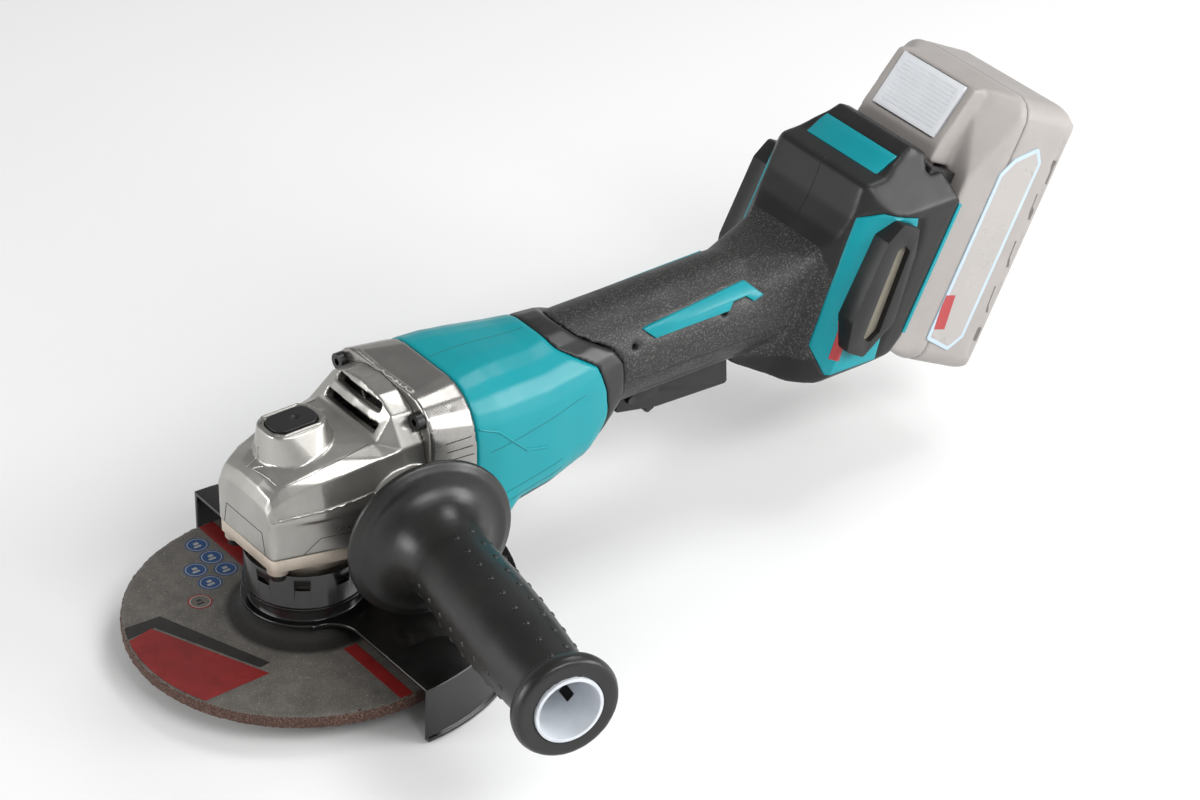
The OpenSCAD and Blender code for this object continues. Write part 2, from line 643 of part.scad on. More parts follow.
module motor_housing() color(teal) difference() {
    union() {
        difference() {
            intersection() {
                body_skin(0);
                plate_xz(motor_seam, -60, 60);
            }
            body_skin(shell_wall);
        }
        // ribs that hold the stator, and the wall with the rear bearing's seat
        intersection() {
            body_skin(shell_wall - eps);
            union() {
                for (a = [45:90:315]) translate([0, 0, motor_z]) rotate([a, 0, 0])
                    translate([stator_x0, -2, stator_r]) cube([stator_x1 - stator_x0, 4, 16]);
                translate([motor_end - 5, -motor_w, 0]) cube([3, 2 * motor_w, motor_end + 20]);
                translate([0, 0, motor_z]) rod_x(12.5, motor_end - 5, motor_end + 2);
            }
        }
    }
    translate([0, 0, motor_z]) rod_x(9.5, motor_end - 6, motor_end + 10);
    for (a = [0:60:300]) translate([0, 0, motor_z]) rotate([a, 0, 0])
        translate([motor_end - 6, 0, 19]) rotate([0, 90, 0]) cylinder(r = 5, h = 6);
    for (side = [-1, 1]) translate([ring_end + 20, side * (motor_w / 2 + 0.2), motor_z - 24])
        rotate([0, -3, 0]) cube([60, 1.4, 0.8], center = true);
}

module neck_band() color(dark) difference() {
    body_skin(0);
    plate_xz(motor_seam, -60, 60);
    plate_xz(concat(neck_seam, [[neck_x + 60, 10], [neck_x + 60, 130]]), -60, 60);
    body_skin(shell_wall);
}

module air_baffle() color(black) difference() {
    intersection() {
        body_skin(shell_wall);
        translate([ring_end, -motor_w, 0]) cube([2.5, 2 * motor_w, 2 * motor_z]);
    }
    translate([0, 0, motor_z]) rod_x(20, ring_end - 5, ring_end + 5);
}

// ---------------------------------------------------------------- handle shells

// Side view outline of the battery housing
function house_profile(inset) = let (i = inset, at = function (v, u)
    [mount_x + v * cos(battery_lean) + u * sin(battery_lean), mount_z - v * sin(battery_lean) + u * cos(battery_lean)])
    [[grip_end - 34, grip_z - grip_r + 1 + i], [grip_end - 18, 46 + i], [grip_end - 6, 45 + i], [grip_end + 20, 45 + i],
     [grip_end + 29, 48 + i], at(-i * 0.4, -32), at(-i * 0.4, 28), at(-14, 42.5 - i), at(-25, 43.2 - i),
     at(-33, 34.6 - i), [grip_end + 32.3, 127 - i], [grip_end + 21.5 + i, 126.6 - i], [grip_end + 15.4 + i, 113],
     [grip_end + 9.2 + i, 104.4], [grip_end, 98.4 - i], [grip_end - 34, 90]];

module house_block(inset) {
    w = house_half - inset;
    intersection() {
        plate_xz(house_profile(inset), -w, w);
        translate([grip_end - 60, 0, 0]) rotate([90, 0, 90]) linear_extrude(180) polygon([
            [-w, 49], [-w + 4, 45 + inset], [w - 4, 45 + inset], [w, 49], [w, 113 - inset * 0.6],
            [w - 16, 132 - inset], [w - 18, 142], [-w + 18, 142], [-w + 16, 132 - inset], [-w, 113 - inset * 0.6]]);
        at_battery() translate([0, 0, -100]) linear_extrude(200) polygon([
            [-90, -13 + inset], [-62, -13 + inset], [-50 + inset * 0.6, -23 + inset * 0.8], [-42 + inset * 0.6, -w + 8],
            [-33 + inset * 0.6, -w], [60, -w], [60, w], [-33 + inset * 0.6, w], [-42 + inset * 0.6, w - 8],
            [-50 + inset * 0.6, 23 - inset * 0.8], [-62, 13 - inset], [-90, 13 - inset]]);
    }
}

module grip_block(inset) {
    translate([0, 0, grip_z]) rod_x(grip_r - inset, neck_x - 2 + (inset > 0 ? -1 : 0), grip_end + 12);
    hull() {
        translate([0, 0, grip_z]) rod_x(grip_r - inset, grip_end - 26, grip_end - 25, $fn = 32);
        translate([grip_end + 8, -24 + inset, 58 + inset]) cube([1, 48 - 2 * inset, 40 - inset]);
    }
}

// Slot that the paddle works in
module paddle_slot() {
    translate([neck_x + 8, -paddle_half - 0.6, 30]) cube([paddle_end - neck_x - 7, 2 * paddle_half + 1.2, 30]);
}

module battery_opening() at_battery() {
    translate([-17, -31.4, -46]) cube([30, 62.8, 120]);
}

side_panel = [[-35, 29], [-26, 31], [-11, 26], [-13, 12], [-26, -18], [-31, -35.4], [-57, -34.7], [-59.8, -23]];

// Channel between the side panel and the rear edge
side_channel = [[-13, 12], [-11, 26], [-7, 24.5], [-8.6, 14], [-17, -8], [-30.4, -35.2], [-31, -35.4], [-26, -18]];

module side_recess(depth) intersection() {
    difference() {
        house_block(0);
        house_block(depth);
    }
    for (side = [-1, 1]) translate([mount_x, side * house_half, mount_z]) plate_xz(side_panel, -14, 14);
}

module shell_screw_holes(r, y0, y1, sides = 64) {
    for (p = [[neck_x + 30, 84], [neck_x + 76, 84], [grip_end + 2, 60], [grip_end + 24, 112]])
        translate([p[0], y0, p[1]]) rotate([-90, 0, 0]) cylinder(r = r, h = y1 - y0, $fn = sides);
}

module handle_shell(side) {
    difference() {
        union() {
            grip_block(0);
            house_block(0);
        }
        difference() {
            union() {
                grip_block(shell_wall);
                house_block(shell_wall);
            }
            shell_screw_holes(4, -50, 50);
        }
        plate_xz(concat([[neck_x - 20, 130]], neck_seam, [[neck_x - 20, 10]]), -60, 60);
        paddle_slot();
        battery_opening();
        side_recess(panel_t);
        for (side = [-1, 1]) translate([mount_x, side * house_half, mount_z]) plate_xz(side_channel, -2.2, 2.2);
        grip_inlay_cut();
        top_inlay_block(1.2);
        shell_screw_holes(1.3, -50, 50);
        shell_screw_holes(3.4, 14.5, 60);
        half_space(-side);
        trim_block();
        pin_holes();
    }
}

module pin_holes() {
    translate([pivot_x, -13.6, pivot_z]) rotate([-90, 0, 0]) cylinder(r = 2.04, h = 27.2);
}

module handle_right() color(dark) handle_shell(-1);
module handle_left() color(dark) handle_shell(1);

inlay_outline = [[neck_x + 36, 89.5], [neck_x + 40.5, 85.3], [neck_x + 78, 85.2], [neck_x + 81, 87.8],
                 [neck_x + 88, 88], [neck_x + 91, 85.4], [neck_x + 96, 86.2], [neck_x + 90, 92.2]];

module grip_inlay_cut() intersection() {
    difference() {
        translate([0, 0, grip_z]) rod_x(grip_r + 1, neck_x, grip_end);
        translate([0, 0, grip_z]) rod_x(grip_r - 1.2, neck_x - 1, grip_end + 1);
    }
    plate_xz(inlay_outline, -60, 60);
}

module grip_inlays() color(teal) intersection() {
    difference() {
        translate([0, 0, grip_z]) rod_x(grip_r + 0.25, neck_x, grip_end);
        translate([0, 0, grip_z]) rod_x(grip_r - 1.2, neck_x - 1, grip_end + 1);
    }
    plate_xz(inlay_outline, -60, 60);
}

module top_inlay_block(depth)
    translate([grip_end + 32.3 - 0.6, -23, 127 - depth]) rotate([0, -8, 0]) cube([11.6, 46, 6]);

module top_inlay() color(teal) intersection() {
    house_block(0);
    top_inlay_block(1.2);
}

module side_panels() color(teal) difference() {
    side_recess(panel_t);
    dust_cover_block();
}

cover_outline = [[-22.6, 29.1], [-14.1, 24.6], [-15.6, 12.6], [-25.6, -16.9], [-41.6, -28.4], [-50.6, -22.9], [-48.1, -9.4],
                 [-30.6, 23.1]];
screen_outline = [[-21.4, 19], [-18.9, 15.5], [-33.4, -19], [-38.9, -22.3], [-41.9, -18.9], [-25.4, 17.5]];
cover_t = 5;

module dust_cover_block() difference() {
    for (side = [-1, 1]) translate([mount_x, side * house_half, mount_z])
        plate_xz(rounded(cover_outline, 2, 3), -cover_t, cover_t);
    house_block(panel_t);
}

module dust_covers() color(black) difference() {
    dust_cover_block();
    for (side = [-1, 1]) translate([mount_x, side * house_half, mount_z])
        plate_xz(rounded(screen_outline, 1.8, 3), -8, 8);
}

module dust_screens() color([0.72, 0.7, 0.62]) difference() {
    for (side = [-1, 1]) translate([mount_x, side * house_half, mount_z])
        plate_xz(rounded(screen_outline, 1.8, 3), -5, 2.6);
    for (side = [-1, 1]) translate([mount_x, side * (house_half + 5), mount_z]) cube([200, 10 - 4.4, 200], center = true);
    house_block(panel_t);
}

module trim_block() at_battery() {
    difference() {
        translate([-1.8, -house_half - 1, -32]) cube([2, 2 * house_half + 2, 60]);
        translate([-3, -house_half + 1.4, -60]) cube([5, 2 * house_half - 2.8, 120]);
    }
}

module rear_trim() color(teal) intersection() {
    house_block(0);
    trim_block();
}

module shell_screws() color(steel) difference() {
    union() {
        shell_screw_holes(3.2, 14.5, 17.5);
        shell_screw_holes(1.25, -8, 14.5);
    }
    shell_screw_holes(1.4, 16, 18, 6);
}

// ---------------------------------------------------------------- paddle and switch

module paddle() color(dark) difference() {
    union() {
        plate_xz(rounded([[pivot_x - 7, 49], [pivot_x - 1, 47.8], [pivot_x + 14, 44.6], [paddle_end - 1, paddle_z],
                  [paddle_end, 44], [paddle_end - 0.5, 55.5], [pivot_x + 4, 57.5], [pivot_x - 4, 57.5]], 0.8, 2),
                 -paddle_half, paddle_half);
    }
    plate_xz([[pivot_x - 3, 52], [pivot_x + 14, 46.4], [paddle_end - 2.5, 45.6], [paddle_end - 2.8, 60],
              [pivot_x - 3, 60]], -paddle_half + 2, paddle_half - 2);
    translate([pivot_x, -20, pivot_z]) rotate([-90, 0, 0]) cylinder(r = 2.04, h = 40);
    translate([lever_x, -20, lever_z]) rotate([-90, 0, 0]) cylinder(r = 1.5, h = 40);
    translate([lever_x - 7, -5.3, 38]) cube([14, 10.6, 12]);
}

module paddle_pin() color(steel)
    translate([pivot_x, -13.6, pivot_z]) rotate([-90, 0, 0]) cylinder(r = 2, h = 27.2);

lever_x = pivot_x + 16;
lever_z = 52;

module lock_off_lever() color(black) difference() {
    union() {
        plate_xz([[lever_x - 3, 52], [lever_x - 2.6, 38.6], [lever_x - 1, 37.6], [lever_x + 2, 38.8], [lever_x + 3, 52]],
                 -4.8, 4.8);
        translate([lever_x, -4.8, lever_z]) rotate([-90, 0, 0]) cylinder(r = 3, h = 9.6);
        plate_xz([[lever_x - 1.6, 53], [lever_x - 1.2, 58.4], [lever_x + 1.2, 58.4], [lever_x + 1.6, 53]], -4.8, 4.8);
    }
    translate([lever_x, -20, lever_z]) rotate([-90, 0, 0]) cylinder(r = 1.54, h = 40);
}

module lock_off_pin() color(steel)
    translate([lever_x, -paddle_half, lever_z]) rotate([-90, 0, 0]) cylinder(r = 1.5, h = 2 * paddle_half);

module paddle_spring() color(steel)
    translate([paddle_end - 12, 0, 45.95]) difference() {
        tube(3, 2.2, 19.04);
        for (z = [1:2.4:17]) translate([0, 0, z]) tube(4, 2.6, 1.2);
    }

module switch_unit() color(black) {
    translate([lever_x + 8, -9, 65]) cube([30, 18, 14.5]);
    translate([lever_x + 10, -4, 62.6]) cube([8, 8, 2.4]);
}

module controller() color([0.1, 0.3, 0.15]) {
    translate([grip_end - 10, -20, 66]) cube([26, 40, 1.6]);
    translate([grip_end - 6, -15, 67.6]) cube([9, 30, 5]);
}

// ---------------------------------------------------------------- battery mount

rail_z0 = -45;
rail_z1 = 38;

module battery_carriage() color(black) at_battery() {
    h = rail_z1 - rail_z0;
    difference() {
        union() {
            translate([-16.2, -31, rail_z0]) cube([3.6, 62, h]);
            for (side = [-1, 1]) {
                translate([-12.7, side > 0 ? tongue_half + 0.4 : -31, rail_z0]) cube([11.6, 31 - tongue_half - 0.4, h]);
                translate([-5.6, side > 0 ? tongue_neck + 0.4 : -tongue_half - 0.5, rail_z0])
                    cube([4.2, tongue_half - tongue_neck + 0.1, h]);
            }
            translate([-12.7, -tongue_half - 0.5, rail_z0]) cube([11.6, 2 * tongue_half + 1, 3.6]);
        }
        for (y = [-14, -5, 5, 14]) translate([-11, y - 0.5, rail_z0 - 1]) cube([7, 1, 6]);
        translate([-13, -6, rail_z1 - 9]) cube([3, 12, 5]);
    }
}

module terminals() color([0.8, 0.6, 0.25]) at_battery()
    for (y = [-14, -5, 5, 14]) translate([-11, y - 0.5, rail_z0 - 1]) cube([7, 1, 21]);

// ---------------------------------------------------------------- side handle

cup_r = 13.9;
washer_t = 2.4;
hub_z = boss_face + washer_t - flange_at;

module side_grip() color(black) at_side() {
    cone = 25;
    rotate_extrude() polygon(concat(
        [[9, hub_z], [12.5, hub_z], [15, -3], [33.8, 0]],
        [for (t = [-80:20:80]) [side_flange_d / 2 - 1.6 + 1.6 * cos(t), 1.6 + 1.6 * sin(t)]],
        [for (i = [0:8]) let (t = 90 * i / 8) [side_flange_d / 2 - 4 - (side_flange_d / 2 - 4 - side_d / 2 + 0.6) * sin(t),
                                               5 + (cone - 5) * (1 - cos(t))]],
        [for (i = [1:7]) let (t = i / 7) [side_d / 2 - 0.6 + 1.7 * sin(t * 180) - 0.9 * t, cone + (side_len - 12 - cone) * t]],
        [[21.2, side_len - 6.5], [21.8, side_len - 3], [20.6, side_len - 0.5], [19.6, side_len], [cup_r, side_len],
         [cup_r, side_len - 40], [9, side_len - 46]]));
}

module side_core() color([0.9, 0.9, 0.92]) at_side() difference() {
    rotate_extrude() polygon([[0, hub_z], [9, hub_z], [9, side_len - 46], [cup_r, side_len - 40], [cup_r, side_len + 0.8],
                              [0, side_len + 0.8]]);
    translate([0, 0, hub_z - 1]) cylinder(r = stud_r + eps, h = 61);
    translate([0, 0, side_len - 38]) cylinder(r = cup_r - 1.4, h = 60);
    translate([0, 8, side_len - 26]) cube([6, 8, 14]);
}

module side_stud() color(steel) at_side() translate([0, 0, -30]) cylinder(r = stud_r, h = 77);

module side_washer() color(steel) side_axis(-1)
    translate([0, 0, boss_face + eps]) tube(10, stud_r + eps, washer_t - eps);

// ---------------------------------------------------------------- battery

top_u = battery_len - 46;
split_v = 18;
hump_half = 25;
screw_y = battery_w / 2 - 4.2;

module battery_box(inset, v0, v1) {
    w = battery_w / 2 - inset;
    intersection() {
        translate([v0, 0, 0]) rotate([90, 0, 90]) linear_extrude(v1 - v0) polygon(rounded([
            [-w, -46 + inset], [w, -46 + inset], [w, top_u - inset], [-w, top_u - inset]], 10 - inset));
        translate([0, 0, -60]) linear_extrude(200) polygon(rounded([
            [0.4, -w], [battery_t - 7 - inset, -w], [battery_t - inset, -w + 7], [battery_t - inset, w - 7],
            [battery_t - 7 - inset, w], [0.4, w]], 1));
        plate_xz(rounded([[0.4, -40 + inset], [14, -46 + inset], [battery_t - 8, -46 + inset], [battery_t - inset, -38],
                  [battery_t - inset, top_u - 12], [battery_t - 10, top_u - inset], [0.4, top_u - inset]], 1), -60, 60);
    }
}

// Hood round the release button, narrower towards its top
module battery_hood(inset) hull() {
    w = battery_w / 2 - inset;
    translate([0.4 + inset, 0, 0]) rotate([90, 0, 90]) linear_extrude(0.2) polygon([
        [-w + 3, -42 + inset], [w - 3, -42 + inset], [w - 3, 38], [21 - inset, top_u - 3 - inset],
        [-21 + inset, top_u - 3 - inset], [-w + 3, 38]]);
    battery_box(inset, split_v - 4, split_v + (inset > 0 ? 1 : 0));
}

module battery_front_case() color(pale) at_battery() difference() {
    union() {
        battery_hood(0);
        translate([-tongue_t, -tongue_half, -40]) cube([6.4, 2 * tongue_half, 76]);
        translate([-tongue_t, -tongue_neck, -40]) cube([tongue_t + 1, 2 * tongue_neck, 80]);
        plate_xz(rounded([[2, 38.6], [-tongue_t, 38.6], [-11.4, 46], [-3.8, 73], [0.4, top_u - 3], [2, top_u - 3]], 0.8, 2),
                 -hump_half, hump_half);
    }
    difference() {
        battery_hood(2.4);
        battery_screw_rods(2.8, split_v - 8, split_v + 2);
    }
    battery_screw_rods(1.5 + eps, split_v - 6, split_v + 2);
    for (y = [-14, -5, 5, 14]) translate([-tongue_t - 1, y - 0.8, -41]) cube([tongue_t - 2.2, 1.6, 26]);
    button_frame() translate([-5, -20.3, -12.9]) cube([12.1, 40.6, 25.8]);
}

// Frame of the release button: X into the battery, Z up along the button
module button_frame() translate([-7.1, 0, 60.2]) rotate([0, 14.5, 0]) children();

module battery_button() color([0.93, 0.93, 0.94]) at_battery() button_frame() difference() {
    translate([-0.8, -20, -12.6]) cube([4.6, 40, 25.2]);
    for (i = [-5:5]) translate([-1.1, -17, i * 1.9 - 0.3]) cube([0.6, 34, 0.6]);
}

module battery_rear_case() color(pale) at_battery() difference() {
    battery_box(0, split_v, battery_t + 1);
    difference() {
        battery_box(2.4, split_v - 1, battery_t);
        battery_screw_rods(2.8, split_v - 2, split_v + 8);
    }
    battery_screw_rods(1.5 + eps, split_v - 2, split_v + 6);
    for (side = [-1, 1]) for (i = [0:4]) translate([battery_t - 9, side * battery_w / 2, -30 + i * 22])
        cube([3, 1.6, 14], center = true);
}

module battery_cells() color([0.3, 0.45, 0.6]) at_battery()
    for (i = [0:4], j = [0, 1]) translate([15.5 + j * 20, 32, -31.5 + i * 19.2]) rotate([90, 0, 0])
        cylinder(r = 9.2, h = 64);

module battery_label() color([0.86, 0.9, 0.93]) at_battery()
    for (side = [-1, 1]) translate([0, side * (battery_w / 2 + 0.2), 0])
        plate_xz(rounded([[15, -33], [30, -36], [36, -29], [36, 53], [31, 59], [20, 52], [15, 44]], 1.5, 3), -0.2, 0.2);

module battery_screw_rods(r, v0, v1)
    for (side = [-1, 1], u = [-35, 48]) translate([v0, side * screw_y, u]) rotate([0, 90, 0]) cylinder(r = r, h = v1 - v0);

module battery_screws() color(steel) at_battery() battery_screw_rods(1.5, split_v - 6, split_v + 6);

// ---------------------------------------------------------------- assembly

grinding_disc();
lock_nut();
inner_flange();
spindle();
bevel_wheel();
spindle_bearing();
spindle_needle_bearing();
bearing_retainer();
guard();
guard_collar();
guard_screw();
bearing_box();
bearing_box_screws();
gear_housing();
gear_ring();
gear_ring_screws();
lock_button();
lock_pin();
lock_spring();
rotor_shaft();
pinion();
rotor_core();
fan();
front_motor_bearing();
rear_motor_bearing();
stator();
stator_coils();
motor_housing();
neck_band();
air_baffle();
handle_right();
handle_left();
grip_inlays();
top_inlay();
side_panels();
dust_covers();
dust_screens();
rear_trim();
shell_screws();
paddle();
paddle_pin();
paddle_spring();
lock_off_lever();
lock_off_pin();
switch_unit();
controller();
battery_carriage();
terminals();
side_grip();
side_core();
side_stud();
side_washer();
battery_front_case();
battery_rear_case();
battery_cells();
battery_button();
battery_label();
battery_screws();
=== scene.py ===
import math
import bpy
from mathutils import Matrix, Vector


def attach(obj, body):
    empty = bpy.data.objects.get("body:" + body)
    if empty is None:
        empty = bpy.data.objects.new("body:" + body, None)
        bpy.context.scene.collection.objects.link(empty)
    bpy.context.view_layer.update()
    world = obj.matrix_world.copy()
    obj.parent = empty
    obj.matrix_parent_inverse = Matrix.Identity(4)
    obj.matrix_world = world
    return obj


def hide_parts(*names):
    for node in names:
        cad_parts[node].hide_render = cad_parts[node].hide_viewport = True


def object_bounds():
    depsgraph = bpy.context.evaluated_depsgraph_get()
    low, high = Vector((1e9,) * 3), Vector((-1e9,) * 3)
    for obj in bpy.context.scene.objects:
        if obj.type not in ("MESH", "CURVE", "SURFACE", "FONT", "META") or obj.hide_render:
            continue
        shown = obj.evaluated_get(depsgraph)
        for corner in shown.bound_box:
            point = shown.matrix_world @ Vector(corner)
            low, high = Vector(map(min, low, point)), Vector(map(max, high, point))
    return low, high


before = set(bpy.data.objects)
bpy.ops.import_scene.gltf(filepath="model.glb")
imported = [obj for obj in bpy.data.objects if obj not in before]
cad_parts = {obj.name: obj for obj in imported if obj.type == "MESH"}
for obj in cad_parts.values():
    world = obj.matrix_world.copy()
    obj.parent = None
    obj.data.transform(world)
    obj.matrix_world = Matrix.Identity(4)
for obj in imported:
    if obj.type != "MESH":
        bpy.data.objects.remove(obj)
cadLow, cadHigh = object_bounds()
mm = 0.001


# small tools

def dropAll():
    if bpy.context.object and bpy.context.object.mode != "OBJECT":
        bpy.ops.object.mode_set(mode="OBJECT")
    bpy.ops.object.select_all(action="DESELECT")


def takeUp(piece):
    dropAll()
    piece.select_set(True)
    bpy.context.view_layer.objects.active = piece


def openMesh(piece, selectMode="FACE"):
    takeUp(piece)
    bpy.ops.object.mode_set(mode="EDIT")
    bpy.ops.mesh.select_mode(type=selectMode)
    bpy.ops.mesh.select_all(action="SELECT")


def closeMesh():
    bpy.ops.object.mode_set(mode="OBJECT")


def pickFaces(piece, wanted):  # wanted(centre, normal) says which faces stay selected
    openMesh(piece)
    bpy.ops.mesh.select_all(action="DESELECT")
    closeMesh()
    for face in piece.data.polygons:
        face.select = bool(wanted(face.center, face.normal))
    bpy.ops.object.mode_set(mode="EDIT")


def shape(piece, kind, **settings):  # one modifier, applied at once
    takeUp(piece)
    step = piece.modifiers.new(kind.title(), kind)
    for key, value in settings.items():
        setattr(step, key, value)
    bpy.ops.object.modifier_apply(modifier=step.name)


def settle(piece, name, body, finish, nodes=(), smooth=35):
    takeUp(piece)
    bpy.ops.object.transform_apply(location=True, rotation=True, scale=True)
    if smooth:
        bpy.ops.object.shade_smooth_by_angle(angle=math.radians(smooth))
    piece.name = name
    if finish:
        piece.data.materials.clear()
        piece.data.materials.append(finish)
    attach(piece, body)
    if nodes:
        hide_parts(*nodes)
    return piece


def nodeCopy(*nodeNames):  # several halves become one skin
    copies = []
    for nodeName in nodeNames:
        copies.append(bpy.data.objects.new(nodeName + "Copy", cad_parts[nodeName].data.copy()))
        bpy.context.scene.collection.objects.link(copies[-1])
    takeUp(copies[0])
    for copy in copies:
        copy.select_set(True)
    if len(copies) > 1:
        bpy.ops.object.join()
    piece = copies[0]
    openMesh(piece)
    bpy.ops.mesh.remove_doubles(threshold=0.004 * mm)
    closeMesh()
    return piece


def softCopy(nodeNames, name, body, finish, voxel, rounds, amount=0.5):  # cast or moulded, every edge blended
    nodeNames = nodeNames.split()
    piece = nodeCopy(*nodeNames)
    shape(piece, "REMESH", mode="VOXEL", voxel_size=voxel * mm)
    shape(piece, "SMOOTH", factor=amount, iterations=rounds)
    settle(piece, name, body, finish, nodeNames, smooth=0)
    bpy.ops.object.shade_smooth()
    print(name, len(piece.data.polygons) * 2, "triangles")
    return piece


def crispCopy(nodeName, name, body, finish, width, steps=2, smooth=40, proud=0):  # small even bevel on the real edges
    piece = nodeCopy(nodeName)
    openMesh(piece)
    bpy.ops.mesh.dissolve_limited(angle_limit=math.radians(3))
    closeMesh()
    shape(piece, "BEVEL", width=width * mm, segments=steps, limit_method="ANGLE",
          angle_limit=math.radians(38), use_clamp_overlap=True, harden_normals=False)
    if proud:
        shape(piece, "DISPLACE", strength=proud * mm, mid_level=0)
    return settle(piece, name, body, finish, [nodeName], smooth)


def smoothAll(piece):
    takeUp(piece)
    bpy.ops.object.shade_smooth()


# finishes

def finish(name, look):
    material = bpy.data.materials.new(name)
    material.use_nodes = True
    tree = material.node_tree
    tree.nodes.clear()
    add = lambda kind: tree.nodes.new("ShaderNode" + kind)
    out, shader, place = add("OutputMaterial"), add("BsdfPrincipled"), add("TexCoord")
    tree.links.new(shader.outputs["BSDF"], out.inputs["Surface"])
    where = place.outputs["Object"]

    def noise(scale, detail=3, rough=0.6):
        node = add("TexNoise")
        node.inputs["Scale"].default_value = scale
        node.inputs["Detail"].default_value = detail
        node.inputs["Roughness"].default_value = rough
        tree.links.new(where, node.inputs["Vector"])
        return node.outputs["Fac"]

    def ramp(source, low, high, a, b):
        node = add("ValToRGB")
        node.color_ramp.elements[0].position, node.color_ramp.elements[1].position = a, b
        node.color_ramp.elements[0].color, node.color_ramp.elements[1].color = (*low, 1), (*high, 1)
        tree.links.new(source, node.inputs["Fac"])
        return node.outputs["Color"]

    tint = ramp(noise(look.get("mottle", 60), 4), look["dark"], look["light"], 0.3, 0.7)
    if "speck" in look:  # light and dark grains
        grains = ramp(noise(look["speckScale"], 2, 0.5), (0, 0, 0), (1, 1, 1), look.get("speckFrom", 0.52), look.get("speckTo", 0.66))
        mix = add("Mix")
        mix.data_type = "RGBA"
        tree.links.new(grains, mix.inputs["Factor"])
        tree.links.new(tint, mix.inputs["A"])
        speck = ramp(noise(look["speckScale"] * 0.37, 2), look["speck"], tuple(0.8 * c for c in look["speck"]), 0.3, 0.7)
        tree.links.new(speck, mix.inputs["B"])
        tint = mix.outputs["Result"]
    if "centreDark" in look:  # darker towards the middle of a turned piece
        reach, width, colour = look["centreDark"]
        apart, flat, length = add("SeparateXYZ"), add("CombineXYZ"), add("VectorMath")
        length.operation = "LENGTH"
        tree.links.new(where, apart.inputs["Vector"])
        tree.links.new(apart.outputs["X"], flat.inputs["X"])
        tree.links.new(apart.outputs["Y"], flat.inputs["Y"])
        tree.links.new(flat.outputs["Vector"], length.inputs[0])
        spread = add("MapRange")
        spread.inputs["From Min"].default_value = reach - width
        spread.inputs["From Max"].default_value = reach + width
        tree.links.new(length.outputs["Value"], spread.inputs["Value"])
        mix = add("Mix")
        mix.data_type = "RGBA"
        tree.links.new(spread.outputs["Result"], mix.inputs["Factor"])
        inner = ramp(noise(900, 3), colour, tuple(1.5 * c for c in colour), 0.35, 0.7)
        tree.links.new(inner, mix.inputs["A"])
        tree.links.new(tint, mix.inputs["B"])
        tint = mix.outputs["Result"]
    tree.links.new(tint, shader.inputs["Base Color"])
    gloss = add("MapRange")
    gloss.inputs["To Min"].default_value, gloss.inputs["To Max"].default_value = look["rough"]
    gloss.inputs["From Min"].default_value, gloss.inputs["From Max"].default_value = 0.3, 0.7
    tree.links.new(noise(look.get("roughScale", 90)), gloss.inputs["Value"])
    tree.links.new(gloss.outputs["Result"], shader.inputs["Roughness"])
    shader.inputs["Metallic"].default_value = look.get("metal", 0)
    shader.inputs["Specular IOR Level"].default_value = look.get("spec", 0.5)
    shader.inputs["Coat Weight"].default_value = look.get("coat", 0)
    shader.inputs["Coat Roughness"].default_value = 0.12
    bump = add("Bump")
    bump.inputs["Strength"].default_value = look.get("bump", 0.3)
    bump.inputs["Distance"].default_value = look.get("depth", 0.02) * mm
    if look.get("weave"):  # fine square mesh
        waves = []
        for direction in ("X", "Z"):
            wave = add("TexWave")
            wave.bands_direction = direction
            wave.inputs["Scale"].default_value = look["weave"]
            tree.links.new(where, wave.inputs["Vector"])
            waves.append(wave.outputs["Fac"])
        both = add("Math")
        both.operation = "MULTIPLY"
        tree.links.new(waves[0], both.inputs[0])
        tree.links.new(waves[1], both.inputs[1])
        tree.links.new(both.outputs["Value"], bump.inputs["Height"])
        tree.links.new(ramp(both.outputs["Value"], look["dark"], look["light"], 0.05, 0.5), shader.inputs["Base Color"])
    else:
        tree.links.new(noise(look.get("grain", 1500), 2, 0.5), bump.inputs["Height"])
    tree.links.new(bump.outputs["Normal"], shader.inputs["Normal"])
    return material


